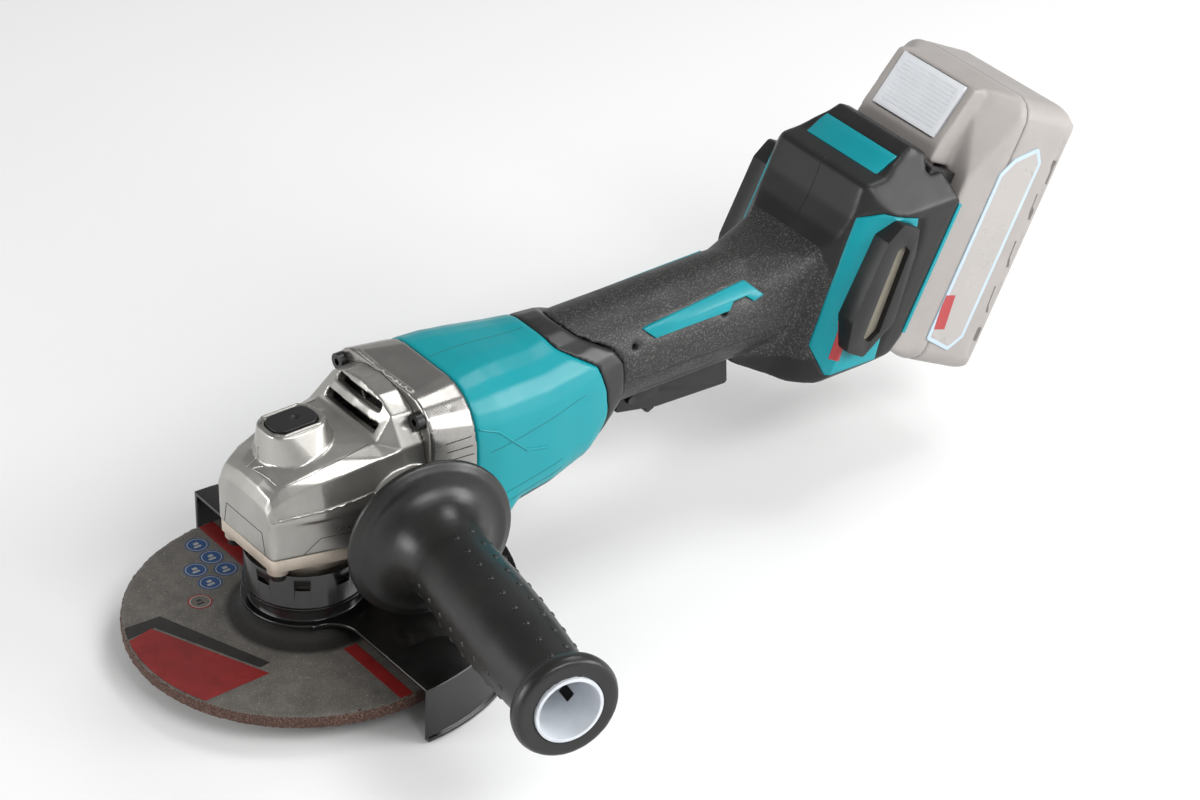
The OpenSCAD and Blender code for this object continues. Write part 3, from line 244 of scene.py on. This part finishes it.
looks = {
    "castAlloy": dict(dark=(0.38, 0.37, 0.345), light=(0.45, 0.44, 0.415), mottle=70, metal=0.88, rough=(0.27, 0.36),
                      grain=1900, depth=0.035, bump=0.35),
    "ringAlloy": dict(dark=(0.31, 0.3, 0.285), light=(0.37, 0.36, 0.34), mottle=60, metal=0.92, rough=(0.25, 0.33),
                      grain=2400, depth=0.02, bump=0.25),
    "creamAlloy": dict(dark=(0.5, 0.43, 0.35), light=(0.6, 0.53, 0.45), mottle=120, metal=0.6, rough=(0.3, 0.42),
                       grain=1500, depth=0.03),
    "brightSteel": dict(dark=(0.5, 0.5, 0.5), light=(0.62, 0.62, 0.63), mottle=200, metal=1, rough=(0.2, 0.34),
                        grain=3000, depth=0.01),
    "darkSteel": dict(dark=(0.03, 0.03, 0.03), light=(0.07, 0.07, 0.07), mottle=200, metal=0.9, rough=(0.3, 0.45)),
    "blackSheet": dict(dark=(0.004, 0.004, 0.004), light=(0.008, 0.0075, 0.007), mottle=40, rough=(0.16, 0.24), coat=0.3,
                       grain=300, depth=0.04, bump=0.12),
    "moulded": dict(dark=(0.009, 0.009, 0.009), light=(0.014, 0.014, 0.014), mottle=50, rough=(0.36, 0.46), grain=2600,
                    depth=0.03, bump=0.4, spec=0.42),
    "speckledGrip": dict(dark=(0.009, 0.009, 0.009), light=(0.017, 0.017, 0.016), mottle=700, rough=(0.42, 0.58), grain=900,
                         depth=0.22, bump=0.9, speck=(0.085, 0.082, 0.08), speckScale=1300, speckFrom=0.53, speckTo=0.66),
    "handleRubber": dict(dark=(0.007, 0.007, 0.007), light=(0.012, 0.012, 0.011), mottle=60, rough=(0.3, 0.4), grain=2000,
                         depth=0.03, bump=0.3),
    "neckRubber": dict(dark=(0.012, 0.012, 0.012), light=(0.018, 0.018, 0.017), mottle=60, rough=(0.34, 0.44), grain=1800,
                       depth=0.03),
    "teal": dict(dark=(0.0, 0.255, 0.295), light=(0.001, 0.285, 0.325), mottle=25, rough=(0.3, 0.38), grain=2200, depth=0.015,
                 bump=0.2, spec=0.36),
    "brightTeal": dict(dark=(0.0, 0.24, 0.285), light=(0.0, 0.27, 0.315), mottle=40, rough=(0.3, 0.38), grain=2200,
                       depth=0.01, spec=0.36),
    "batteryShell": dict(dark=(0.33, 0.305, 0.29), light=(0.37, 0.345, 0.33), mottle=40, rough=(0.42, 0.52), grain=2400,
                         depth=0.03),
    "slotShade": dict(dark=(0.12, 0.11, 0.1), light=(0.16, 0.145, 0.13), mottle=90, rough=(0.6, 0.8)),
    "batteryDark": dict(dark=(0.25, 0.225, 0.21), light=(0.29, 0.26, 0.245), mottle=60, rough=(0.5, 0.6)),
    "buttonWhite": dict(dark=(0.66, 0.68, 0.71), light=(0.74, 0.76, 0.79), mottle=50, rough=(0.32, 0.4), grain=2000, depth=0.01),
    "coreWhite": dict(dark=(0.55, 0.58, 0.62), light=(0.66, 0.69, 0.73), mottle=70, rough=(0.3, 0.4), grain=1200, depth=0.02),
    "labelFilm": dict(dark=(0.38, 0.36, 0.345), light=(0.41, 0.385, 0.37), mottle=40, rough=(0.26, 0.32), depth=0.005),
    "labelEdge": dict(dark=(0.42, 0.52, 0.6), light=(0.47, 0.58, 0.66), mottle=50, rough=(0.3, 0.36), depth=0.005),
    "badgeRed": dict(dark=(0.36, 0.035, 0.04), light=(0.42, 0.05, 0.05), mottle=80, rough=(0.28, 0.35), depth=0.005),
    "discFace": dict(dark=(0.085, 0.079, 0.07), light=(0.13, 0.12, 0.108), mottle=160, rough=(0.45, 0.62), grain=1400,
                     depth=0.09, bump=0.5, speck=(0.3, 0.28, 0.25), speckScale=1700, speckFrom=0.6, speckTo=0.74,
                     centreDark=(0.0325, 0.0014, (0.012, 0.011, 0.01)), spec=0.4),
    "discRim": dict(dark=(0.035, 0.014, 0.01), light=(0.085, 0.04, 0.028), mottle=900, rough=(0.75, 0.9), grain=900, depth=0.4,
                    bump=0.9, speck=(0.16, 0.1, 0.075), speckScale=1300),
    "printRed": dict(dark=(0.17, 0.008, 0.008), light=(0.24, 0.014, 0.013), mottle=120, rough=(0.4, 0.55), grain=1500,
                     depth=0.04),
    "printDark": dict(dark=(0.012, 0.011, 0.01), light=(0.02, 0.018, 0.016), mottle=300, rough=(0.5, 0.6), grain=1500,
                      depth=0.04),
    "printBlue": dict(dark=(0.006, 0.04, 0.13), light=(0.009, 0.06, 0.18), mottle=200, rough=(0.45, 0.55), depth=0.03),
    "printPale": dict(dark=(0.3, 0.29, 0.27), light=(0.36, 0.35, 0.32), mottle=200, rough=(0.5, 0.6), depth=0.03),
    "fineLine": dict(dark=(0.003, 0.003, 0.003), light=(0.008, 0.008, 0.008), mottle=200, rough=(0.6, 0.8)),
    "tealLine": dict(dark=(0.0, 0.07, 0.085), light=(0.0, 0.09, 0.105), mottle=200, rough=(0.5, 0.6)),
    "screenMesh": dict(dark=(0.1, 0.09, 0.07), light=(0.5, 0.46, 0.36), rough=(0.5, 0.6), weave=900, depth=0.2, bump=0.8),
    "copper": dict(dark=(0.5, 0.22, 0.08), light=(0.62, 0.3, 0.12), mottle=400, metal=0.9, rough=(0.25, 0.4)),
    "brass": dict(dark=(0.6, 0.42, 0.14), light=(0.7, 0.5, 0.2), mottle=300, metal=1, rough=(0.2, 0.35)),
    "board": dict(dark=(0.01, 0.07, 0.03), light=(0.02, 0.12, 0.05), mottle=400, rough=(0.4, 0.5)),
    "cellWrap": dict(dark=(0.05, 0.12, 0.25), light=(0.07, 0.16, 0.3), mottle=60, rough=(0.25, 0.35)),
}
finishes = {name: finish(name, look) for name, look in looks.items()}
print("finishes ready")


# thin beads and hairlines that follow a surface

def layLine(name, points, radius, target, towards, body, look, sink=0.0, cuts=24):
    dropAll()
    bpy.ops.mesh.primitive_plane_add(size=mm, location=points[0])
    line = bpy.context.object
    openMesh(line, "VERT")
    bpy.ops.mesh.merge(type="CENTER")
    for a, b in zip(points, points[1:]):
        bpy.ops.mesh.extrude_region_move(TRANSFORM_OT_translate={"value": Vector(b) - Vector(a)})
    bpy.ops.mesh.select_all(action="SELECT")
    bpy.ops.mesh.subdivide(number_cuts=cuts)
    closeMesh()
    axis = "XYZ"[max(range(3), key=lambda i: abs(towards[i]))]
    forward = sum(towards) > 0
    takeUp(line)
    bpy.ops.object.transform_apply(location=True, rotation=True, scale=True)
    wrap = line.modifiers.new("Wrap", "SHRINKWRAP")
    wrap.target, wrap.wrap_method = target, "PROJECT"
    wrap.use_project_x, wrap.use_project_y, wrap.use_project_z = axis == "X", axis == "Y", axis == "Z"
    wrap.use_positive_direction, wrap.use_negative_direction = forward, not forward
    wrap.offset = -sink * mm
    wrap.wrap_mode = "ON_SURFACE" if sink == 0 else "ABOVE_SURFACE"
    bpy.ops.object.modifier_apply(modifier="Wrap")
    bpy.ops.object.convert(target="CURVE")
    line = bpy.context.object
    line.data.bevel_depth = radius * mm
    line.data.bevel_resolution = 1
    line.data.use_fill_caps = True
    bpy.ops.object.convert(target="MESH")
    return settle(bpy.context.object, name, body, finishes[look], smooth=60)


# gear head

head = dict(voxel=0.55, rounds=5, ringVoxel=0.7, ringRounds=9, buttonVoxel=0.35)
housing = softCopy("gear_housing", "headCasting", "housing", finishes["castAlloy"], head["voxel"], head["rounds"])
ring = softCopy("gear_ring", "headRing", "housing", finishes["ringAlloy"], head["ringVoxel"], head["ringRounds"])
button = softCopy("lock_button", "lockButtonCap", "lock_button", finishes["moulded"], head["buttonVoxel"], 5)
crispCopy("bearing_box", "bearingBoxCasting", "housing", finishes["creamAlloy"], 0.7, 3)
print("gear head shaped")

m = lambda *values: tuple(v * mm for v in values)
for side in (-1, 1):
    away = (0, -side, 0)
    flip = lambda pts: [(x, -side * y, z) for x, y, z in pts]
    tag = "Right" if side < 0 else "Left"
    # ridges along the flank of the casting
    layLine("flankRidge" + tag, flip([m(-24, -60, 66.2), m(-6, -60, 67.2), m(21, -60, 70)]), 0.7, housing, away,
            "housing", "castAlloy", cuts=40)
    layLine("flankPanelLine" + tag, flip([m(-15, -60, 48.5), m(-8, -60, 54.5), m(24, -60, 55)]), 0.14, housing, away,
            "housing", "fineLine")
layLine("frontPanelLine", [m(-60, -15, 48.5), m(-60, -13, 58), m(-60, 13, 58), m(-60, 15, 48.5)], 0.14, housing, (1, 0, 0),
        "housing", "fineLine")
# turning arrow cast on the front slope
layLine("arrowShaft", [m(-22.6, 0.6, 120), m(-20.8, -14.6, 120)], 0.36, housing, (0, 0, -1), "housing", "castAlloy")
layLine("arrowHead", [m(-22.6, 0.6, 120), m(-19.8, -3.2, 120)], 0.36, housing, (0, 0, -1), "housing", "castAlloy")
layLine("arrowBar", [m(-23.2, 3.6, 120), m(-18.6, 2.2, 120)], 0.36, housing, (0, 0, -1), "housing", "castAlloy")
for side in (-1, 1):
    layLine(f"shoulderLine{side + 1}", [m(-19, side * 17.4, 120), m(-8, side * 19.8, 120), m(6, side * 20.6, 120), m(19, side * 19.6, 120)],
            0.12, housing, (0, 0, -1), "housing", "fineLine")
# raised walls beside the button, and three cuts in the ring's flank drawn as black lines of painted shade in the
# grooves
for side in (-1, 1):
    layLine(f"buttonWall{side + 1}", [m(-15.2, side * 5.4, 140), m(-12.6, side * 8.3, 140), m(3.6, side * 8.3, 140), m(7.6, side * 5.2, 140)],
            0.75, housing, (0, 0, -1), "housing", "castAlloy", cuts=12)
    for i, (x0, z0, x1, z1) in enumerate(((45, 83.2, 57, 82.6), (45.6, 79, 57.5, 78.4), (46.2, 75, 58, 74.4))):
        layLine(f"ringCutShade{i}{side + 1}", [m(x0, side * 60, z0), m(x1, side * 60, z1)], 0.2, ring, (0, -side, 0), "housing", "fineLine", cuts=8)
# raised lip on top of the ring
layLine("ringLip", [m(40, -19, 140), m(39.2, 0, 140), m(40, 19, 140)], 1.1, ring, (0, 0, -1), "housing", "castAlloy", cuts=30)
print("casting details laid")


# guard, collar and disc

guardSheet = crispCopy("guard", "guardSheet", "guard", finishes["blackSheet"], 0.55, 3)
crispCopy("guard_collar", "guardCollarBand", "guard", finishes["blackSheet"], 0.35, 2)

discSize = dict(voxel=0.8, rim=74.2, top=4.5, roughness=0.35)
disc = nodeCopy("grinding_disc")
shape(disc, "REMESH", mode="VOXEL", voxel_size=discSize["voxel"] * mm)
shape(disc, "SMOOTH", factor=0.5, iterations=3)
grit = bpy.data.textures.new("grit", "CLOUDS")
grit.noise_scale, grit.noise_depth = 2.2 * mm, 1
rimGroup = disc.vertex_groups.new(name="rim")
rimGroup.add([v.index for v in disc.data.vertices if math.hypot(v.co.x, v.co.y) > 73.4 * mm], 1.0, "REPLACE")
takeUp(disc)
bump = disc.modifiers.new("Grit", "DISPLACE")
bump.texture, bump.texture_coords, bump.vertex_group = grit, "LOCAL", "rim"
bump.mid_level, bump.strength = 1.0, discSize["roughness"] * mm * 2
bpy.ops.object.modifier_apply(modifier="Grit")
disc.vertex_groups.clear()
settle(disc, "grindingDisc", "spindle", finishes["discFace"], ["grinding_disc"], smooth=0)
disc.data.materials.append(finishes["discRim"])
pickFaces(disc, lambda c, n: math.hypot(c.x, c.y) > discSize["rim"] * mm or (math.hypot(c.x, c.y) > 73 * mm and abs(n.z) < 0.8))
disc.active_material_index = 1
bpy.ops.object.material_slot_assign()
closeMesh()
smoothAll(disc)


def printPatch(name, corners, look, lift=0.0, rimCut=0.0):  # flat print on the disc, corners in mm
    dropAll()
    centre = Vector((sum(c[0] for c in corners) / len(corners), sum(c[1] for c in corners) / len(corners), 0)) * mm
    bpy.ops.mesh.primitive_circle_add(vertices=len(corners), radius=5 * mm, fill_type="NGON",
                                      location=(centre.x, centre.y, (discSize["top"] + 0.03 + lift) * mm))
    patch = bpy.context.object
    for vertex, corner in zip(patch.data.vertices, corners):
        vertex.co.x, vertex.co.y = corner[0] * mm - centre.x, corner[1] * mm - centre.y
    openMesh(patch)
    bpy.ops.mesh.extrude_region_move(TRANSFORM_OT_translate={"value": (0, 0, 0.03 * mm)})
    bpy.ops.mesh.select_all(action="SELECT")
    bpy.ops.mesh.normals_make_consistent(inside=False)
    closeMesh()
    return settle(patch, name, "spindle", finishes[look], smooth=0)


def arcPoints(radius, a, b, steps=10):
    return [(radius * math.cos(math.radians(a + (b - a) * i / steps)), radius * math.sin(math.radians(a + (b - a) * i / steps)))
            for i in range(steps + 1)]


rim = 73.6
printPatch("redStripeLeft", [(-5.8, 33)] + [(1.4, 33)] + [(1.4, rim - 0.1), (-5.8, rim - 0.4)], "printRed")
printPatch("redStripeRight", [(-4, -33), (-4, -rim + 0.2), (2, -rim), (2, -33)], "printRed")
printPatch("redBlock", [(-59, 22.7), (-36.7, -30), (-66.8, -31)] + arcPoints(rim, 205, 197.5, 3) + arcPoints(rim, 195, 164, 8),
           "printRed", 0.02)
printPatch("darkChevronLong", [(-51.7, 28), (-57.5, 22.3), (-37.7, -24.6), (-32.7, -24)], "printDark")
printPatch("darkChevronShort", [(-51.7, 28), (-67.6, 29)] + arcPoints(rim, 157.2, 163, 2) + [(-57.5, 22.3)], "printDark")


def printSign(name, x, y, look, radius=5.0):  # ring and plain mark of a safety sign
    for part, size, colour, lift in (("Field", radius, look, 0), ("Edge", radius * 0.86, "printPale", 0.02),
                                     ("Ground", radius * 0.79, look if look == "printBlue" else "discFace", 0.04)):
        dropAll()
        bpy.ops.mesh.primitive_circle_add(vertices=28, radius=size * mm, fill_type="NGON",
                                          location=(x * mm, y * mm, (discSize["top"] + 0.03 + lift) * mm))
        openMesh(bpy.context.object)
        bpy.ops.mesh.extrude_region_move(TRANSFORM_OT_translate={"value": (0, 0, 0.02 * mm)})
        bpy.ops.mesh.select_all(action="SELECT")
        bpy.ops.mesh.normals_make_consistent(inside=False)
        closeMesh()
        settle(bpy.context.object, name + part, "spindle", finishes[colour], smooth=0)
    for i, (dx, dy, w, h) in enumerate(((0, 0.9, 2.2, 1.6), (-0.4, -1.2, 3.4, 1.2))):
        dropAll()
        bpy.ops.mesh.primitive_plane_add(size=mm, location=((x + dx) * mm, (y + dy) * mm, (discSize["top"] + 0.095) * mm))
        mark = bpy.context.object
        openMesh(mark)
        bpy.ops.transform.resize(value=(w, h, 1))
        bpy.ops.mesh.bevel(offset=0.4 * mm, affect="VERTICES", segments=3)
        closeMesh()
        settle(mark, f"{name}Mark{i}", "spindle", finishes["printPale" if look == "printBlue" else "printDark"], smooth=0)


for i, (x, y) in enumerate(((-13.1, 62.6), (-12.8, 51.7), (-23, 47.5), (-12.5, 41.2), (-22.8, 36.5))):
    printSign(f"blueSign{i}", x, y, "printBlue")
printSign("redSign", -33.3, 27.4, "printRed")
print("disc printed")


# motor housing and neck

motor = softCopy("motor_housing", "motorShell", "housing", finishes["teal"], 0.8, 14)
motor.data.materials.append(finishes["moulded"])
pickFaces(motor, lambda c, n: n.z < -0.45 and c.z < 44 * mm and c.x > 66 * mm)
motor.active_material_index = 1
bpy.ops.object.material_slot_assign()
closeMesh()
neck = softCopy("neck_band", "neckBand", "housing", finishes["neckRubber"], 0.8, 10)
for side in (-1, 1):
    flip = lambda pts: [(x, -side * y, z) for x, y, z in pts]
    tag, away = ("Right" if side < 0 else "Left"), (0, -side, 0)
    layLine("panelLineLow" + tag, flip([m(64, -80, 45), m(104, -80, 48)]), 0.13, motor, away, "housing", "tealLine")
    layLine("panelLineMid" + tag, flip([m(64, -80, 49.5), m(104, -80, 52.5)]), 0.13, motor, away, "housing", "tealLine")
    layLine("panelLineTop" + tag, flip([m(66, -80, 72), m(118, -80, 76)]), 0.13, motor, away, "housing", "tealLine")
    layLine("shoulderCrease" + tag, flip([m(61, -80, 84), m(70, -80, 80), m(84, -80, 66), m(96, -80, 62)]), 0.5, motor, away,
            "housing", "teal")
layLine("topSeam", [m(61, 0, 150), m(106, 0, 150)], 0.12, motor, (0, 0, -1), "housing", "tealLine")
print("motor housing shaped")


# handle and battery housing

handleSize = dict(voxel=1.0, rounds=14, houseFront=244)
shell = softCopy("handle_right handle_left", "handleShell", "housing", finishes["speckledGrip"], handleSize["voxel"], handleSize["rounds"])
shell.data.materials.append(finishes["moulded"])
pickFaces(shell, lambda c, n: c.x > (handleSize["houseFront"] + (74 - c.z / mm) * 0.1) * mm or c.z < 56 * mm)
shell.active_material_index = 1
bpy.ops.object.material_slot_assign()
closeMesh()
layLine("shellSeam", [m(238, 0, 160), m(271, 0, 160)], 0.16, shell, (0, 0, -1), "housing", "fineLine", cuts=60)
for nodeName, name, look, width in (("grip_inlays", "gripInlays", "brightTeal", 0.15), ("top_inlay", "topInlay", "brightTeal", 0.25),
                                    ("side_panels", "sidePanels", "brightTeal", 0.2), ("dust_covers", "dustCovers", "moulded", 0.8),
                                    ("rear_trim", "rearTrim", "brightTeal", 0.15), ("paddle", "paddleLever", "moulded", 0.8),
                                    ("lock_off_lever", "lockOffLever", "moulded", 0.6), ("battery_carriage", "batteryCarriage", "moulded", 0.3)):
    body = {"paddle": "paddle", "lock_off_lever": "lock_off_lever"}.get(nodeName, "housing")
    crispCopy(nodeName, name, body, finishes[look], width, proud=0.3 if nodeName == "grip_inlays" else 0)
for side in (-1, 1):
    flip = lambda pts: [(x, -side * y, z) for x, y, z in pts]
    tag, away = ("Right" if side < 0 else "Left"), (0, -side, 0)
    layLine("gripSeamUpper" + tag, flip([m(150, -70, 70), m(226, -70, 69)]), 0.13, shell, away, "housing", "fineLine")
    layLine("gripSeamLower" + tag, flip([m(150, -70, 62), m(206, -70, 61), m(222, -70, 66), m(228, -70, 74)]), 0.13, shell, away,
            "housing", "fineLine")
print("handle shaped")


# battery

battery = dict(voxel=0.95, rounds=5, rearRounds=4)
front = softCopy("battery_front_case", "batteryFront", "battery", finishes["batteryShell"], battery["voxel"], battery["rounds"])
rear = softCopy("battery_rear_case", "batteryRear", "battery", finishes["batteryShell"], battery["voxel"], battery["rearRounds"])
crispCopy("battery_button", "releaseButton", "battery_button", finishes["buttonWhite"], 0.5, 3)
panels = bpy.data.objects["sidePanels"]
label = crispCopy("battery_label", "batteryLabel", "battery", finishes["labelFilm"], 0.08, 1, proud=0.3)
label.data.materials.append(finishes["labelEdge"])
pickFaces(label, lambda c, n: abs(n.y) > 0.9 and abs(c.y) > 39.7 * mm)
bpy.ops.mesh.inset(thickness=1.6 * mm, use_individual=True)
bpy.ops.mesh.select_all(action="INVERT")
label.active_material_index = 1
bpy.ops.object.material_slot_assign()
closeMesh()
print("battery shaped")


# side handle

grip = dict(axisX=25.626, axisY=-50.0, axisZ=56.5, turn=10, dotStep=10.4, dotSize=1.25, dotHeight=0.55, dotCount=9,
            dotRows=((93, 29), (63, 24.3), (33, 29), (3, 24.3), (-27, 29), (181, 29.5), (211, 24.3), (241, 29)))
softCopy("side_grip", "sideGrip", "side_handle", finishes["handleRubber"], 0.75, 6)
crispCopy("side_core", "sideCore", "side_handle", finishes["coreWhite"], 0.5, 2)

turn = math.radians(grip["turn"])
outward = Vector((-math.sin(turn), -math.cos(turn), 0))
across = Vector((math.cos(turn), -math.sin(turn), 0))
upward = Vector((0, 0, 1))
start = Vector((grip["axisX"], grip["axisY"], grip["axisZ"])) * mm


def aroundGrip(angle):
    return across * math.cos(math.radians(angle)) + upward * math.sin(math.radians(angle))


dots = []
for angle, first in grip["dotRows"]:
    for i in range(grip["dotCount"]):
        along = first + i * grip["dotStep"]
        t = min(1, max(0, (along - 25) / 89))
        radius = (16.9 + 1.7 * math.sin(math.pi * t) - 0.9 * t - 0.1) * mm
        away = aroundGrip(angle)
        dropAll()
        bpy.ops.mesh.primitive_uv_sphere_add(segments=12, ring_count=6, radius=grip["dotSize"] * mm,
                                             location=start + outward * along * mm + away * radius)
        dot = bpy.context.object
        openMesh(dot)
        bpy.ops.transform.resize(value=(1, 1, grip["dotHeight"] / grip["dotSize"]))
        closeMesh()
        dot.rotation_mode = "QUATERNION"
        dot.rotation_quaternion = away.to_track_quat("Z", "Y")
        dots.append(dot)
takeUp(dots[0])
for dot in dots:
    dot.select_set(True)
bpy.ops.object.join()
settle(bpy.context.object, "gripDots", "side_handle", finishes["handleRubber"], smooth=60)

# dark block in the cup's wall: painted shade standing in for a recess
dropAll()
bpy.ops.mesh.primitive_cube_add(size=mm, location=start + outward * 105.5 * mm + aroundGrip(316) * 12.5 * mm)
shadeBlock = bpy.context.object
openMesh(shadeBlock)
bpy.ops.transform.resize(value=(7.5, 4, 0.7))
closeMesh()
shadeBlock.rotation_mode = "QUATERNION"
shadeBlock.rotation_quaternion = Matrix((outward, aroundGrip(316).cross(outward), aroundGrip(316))).transposed().to_quaternion()
shape(shadeBlock, "BEVEL", width=0.2 * mm, segments=2)
settle(shadeBlock, "cupRecessShade", "side_handle", finishes["fineLine"])
print("side handle shaped")


# the remaining pieces keep their own shape

plain = {
    "brightSteel": "lock_nut inner_flange spindle bevel_wheel spindle_bearing spindle_needle_bearing guard_screw lock_pin "
                   "lock_spring rotor_shaft pinion front_motor_bearing rear_motor_bearing shell_screws paddle_spring "
                   "side_stud side_washer battery_screws",
    "darkSteel": "paddle_pin lock_off_pin bearing_retainer bearing_box_screws gear_ring_screws rotor_core stator",
    "moulded": "fan air_baffle switch_unit",
    "copper": "stator_coils",
    "brass": "terminals",
    "board": "controller",
    "cellWrap": "battery_cells",
    "screenMesh": "dust_screens",
}
for look, names in plain.items():
    for nodeName in names.split():
        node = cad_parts[nodeName]
        for slot in node.material_slots:
            slot.material = finishes[look]
print("plain pieces painted")


# thin pieces laid on a flank: corners are x and z in mm
def stickOn(name, corners, side, target, body, look, height):
    dropAll()
    middle = Vector((sum(c[0] for c in corners) / 4, side * 41, sum(c[1] for c in corners) / 4)) * mm
    bpy.ops.mesh.primitive_plane_add(size=mm, location=middle, rotation=(math.pi / 2, 0, 0))
    patch = bpy.context.object
    bpy.ops.object.transform_apply(location=False, rotation=True, scale=False)
    order = sorted(patch.data.vertices, key=lambda v: math.atan2(v.co.z, v.co.x))
    placed = sorted(corners, key=lambda c: math.atan2(c[1] - middle.z / mm, c[0] - middle.x / mm))
    for vertex, (x, z) in zip(order, placed):
        vertex.co = Vector((x * mm - middle.x, 0, z * mm - middle.z))
    openMesh(patch)
    bpy.ops.mesh.subdivide(number_cuts=7)
    closeMesh()
    bpy.ops.object.transform_apply(location=True, rotation=True, scale=True)
    shape(patch, "SHRINKWRAP", target=target, wrap_method="NEAREST_SURFACEPOINT")
    openMesh(patch)
    bpy.ops.mesh.extrude_region_move(TRANSFORM_OT_translate={"value": (0, side * height * mm, 0)})
    bpy.ops.mesh.select_all(action="SELECT")
    bpy.ops.mesh.normals_make_consistent(inside=False)
    closeMesh()
    return settle(patch, name, body, finishes[look], smooth=30)


def slotAlong(x0, z0, x1, z1, width):  # corners of a narrow strip
    length = math.hypot(x1 - x0, z1 - z0)
    ax, az = -(z1 - z0) / length * width / 2, (x1 - x0) / length * width / 2
    return [(x0 + ax, z0 + az), (x0 - ax, z0 - az), (x1 - ax, z1 - az), (x1 + ax, z1 + az)]


flank = dict(badge=(242.6, 72.5, 236.2, 56.5, 6.4), labelBadge=(299.8, 66, 294.6, 51, 6.2), slotWidth=1.5)
for side in (-1, 1):
    tag = "Right" if side < 0 else "Left"
    stickOn("panelBadge" + tag, slotAlong(*flank["badge"]), side, panels, "housing", "badgeRed", 0.3)
    stickOn("labelBadge" + tag, slotAlong(*flank["labelBadge"]), side, label, "battery", "badgeRed", 0.1)
    # the vent slots are thin dark patches: painted shade standing in for the recesses
    for i, (x0, z0, x1, z1) in enumerate(((355.5, 113, 350.8, 103), (346.8, 99.5, 342.6, 88.5), (336.4, 80, 332, 68.5),
                                          (326.2, 61, 322, 49.5), (318.8, 42.5, 316.4, 37))):
        stickOn(f"caseSlotShade{i}{tag}", slotAlong(x0, z0, x1, z1, flank["slotWidth"]), side, rear, "battery", "slotShade", 0.04)
print("badges and slots set")


# floor, light and camera

stageSetup = dict(floor=0.92, horizon=0.8, sky=0.24, zenith=0.34, rightPower=15, frontPower=11, leftPower=8, topPower=7)
dropAll()
bpy.ops.mesh.primitive_plane_add(size=12, location=(0.15, 0, cadLow.z - 0.0005))
floor = bpy.context.object
floor.name = "floor"
floorLook = bpy.data.materials.new("paleFloor")
floorLook.use_nodes = True
floorShader = floorLook.node_tree.nodes["Principled BSDF"]
floorShader.inputs["Base Color"].default_value = (stageSetup["floor"],) * 3 + (1,)
floorShader.inputs["Roughness"].default_value = 0.9
floor.data.materials.append(floorLook)

world = bpy.data.worlds.new("softRoom")
bpy.context.scene.world = world
world.use_nodes = True
room = world.node_tree
direction, apart, shade = (room.nodes.new("ShaderNode" + kind) for kind in ("TexCoord", "SeparateXYZ", "ValToRGB"))
room.links.new(direction.outputs["Generated"], apart.inputs["Vector"])
room.links.new(apart.outputs["Z"], shade.inputs["Fac"])
room.links.new(shade.outputs["Color"], room.nodes["Background"].inputs["Color"])
for element, place, level in zip(shade.color_ramp.elements, (0.12, 0.4), ("horizon", "sky")):
    element.position, element.color = place, (stageSetup[level],) * 3 + (1,)
shade.color_ramp.elements.new(0.95).color = (stageSetup["zenith"],) * 3 + (1,)
bpy.context.scene.view_settings.view_transform = "Standard"


def softBox(name, place, aim, width, height, power):
    data = bpy.data.lights.new(name, "AREA")
    data.shape, data.size, data.size_y, data.energy = "RECTANGLE", width, height, power
    lamp = bpy.data.objects.new(name, data)
    bpy.context.scene.collection.objects.link(lamp)
    lamp.location = place
    lamp.rotation_euler = (Vector(aim) - Vector(place)).to_track_quat("-Z", "Y").to_euler()


softBox("rightBox", (1.15, -0.95, 0.62), (0.12, 0, 0.05), 0.9, 0.6, stageSetup["rightPower"])
softBox("frontBox", (0.1, -1.15, 1.1), (0.1, 0, 0.05), 0.9, 0.5, stageSetup["frontPower"])
softBox("leftBox", (-1.15, 0.35, 0.4), (0.1, 0, 0.05), 0.8, 0.5, stageSetup["leftPower"])
softBox("topBox", (0.95, 0.05, 1.5), (0.12, 0, 0.05), 0.6, 0.6, stageSetup["topPower"])

cameraData = bpy.data.cameras.new("camera")
cameraData.lens, cameraData.sensor_width = 126, 36
camera = bpy.data.objects.new("camera", cameraData)
bpy.context.scene.collection.objects.link(camera)
turned = (Matrix.Rotation(math.radians(-36.615), 4, "Z") @ Matrix.Rotation(math.radians(90 - 32.377), 4, "X")
          @ Matrix.Rotation(math.radians(0.711), 4, "Z"))
camera.matrix_world = Matrix.Translation((-0.72953, -1.17761, 0.9795)) @ turned
bpy.context.scene.camera = camera
print("stage set")
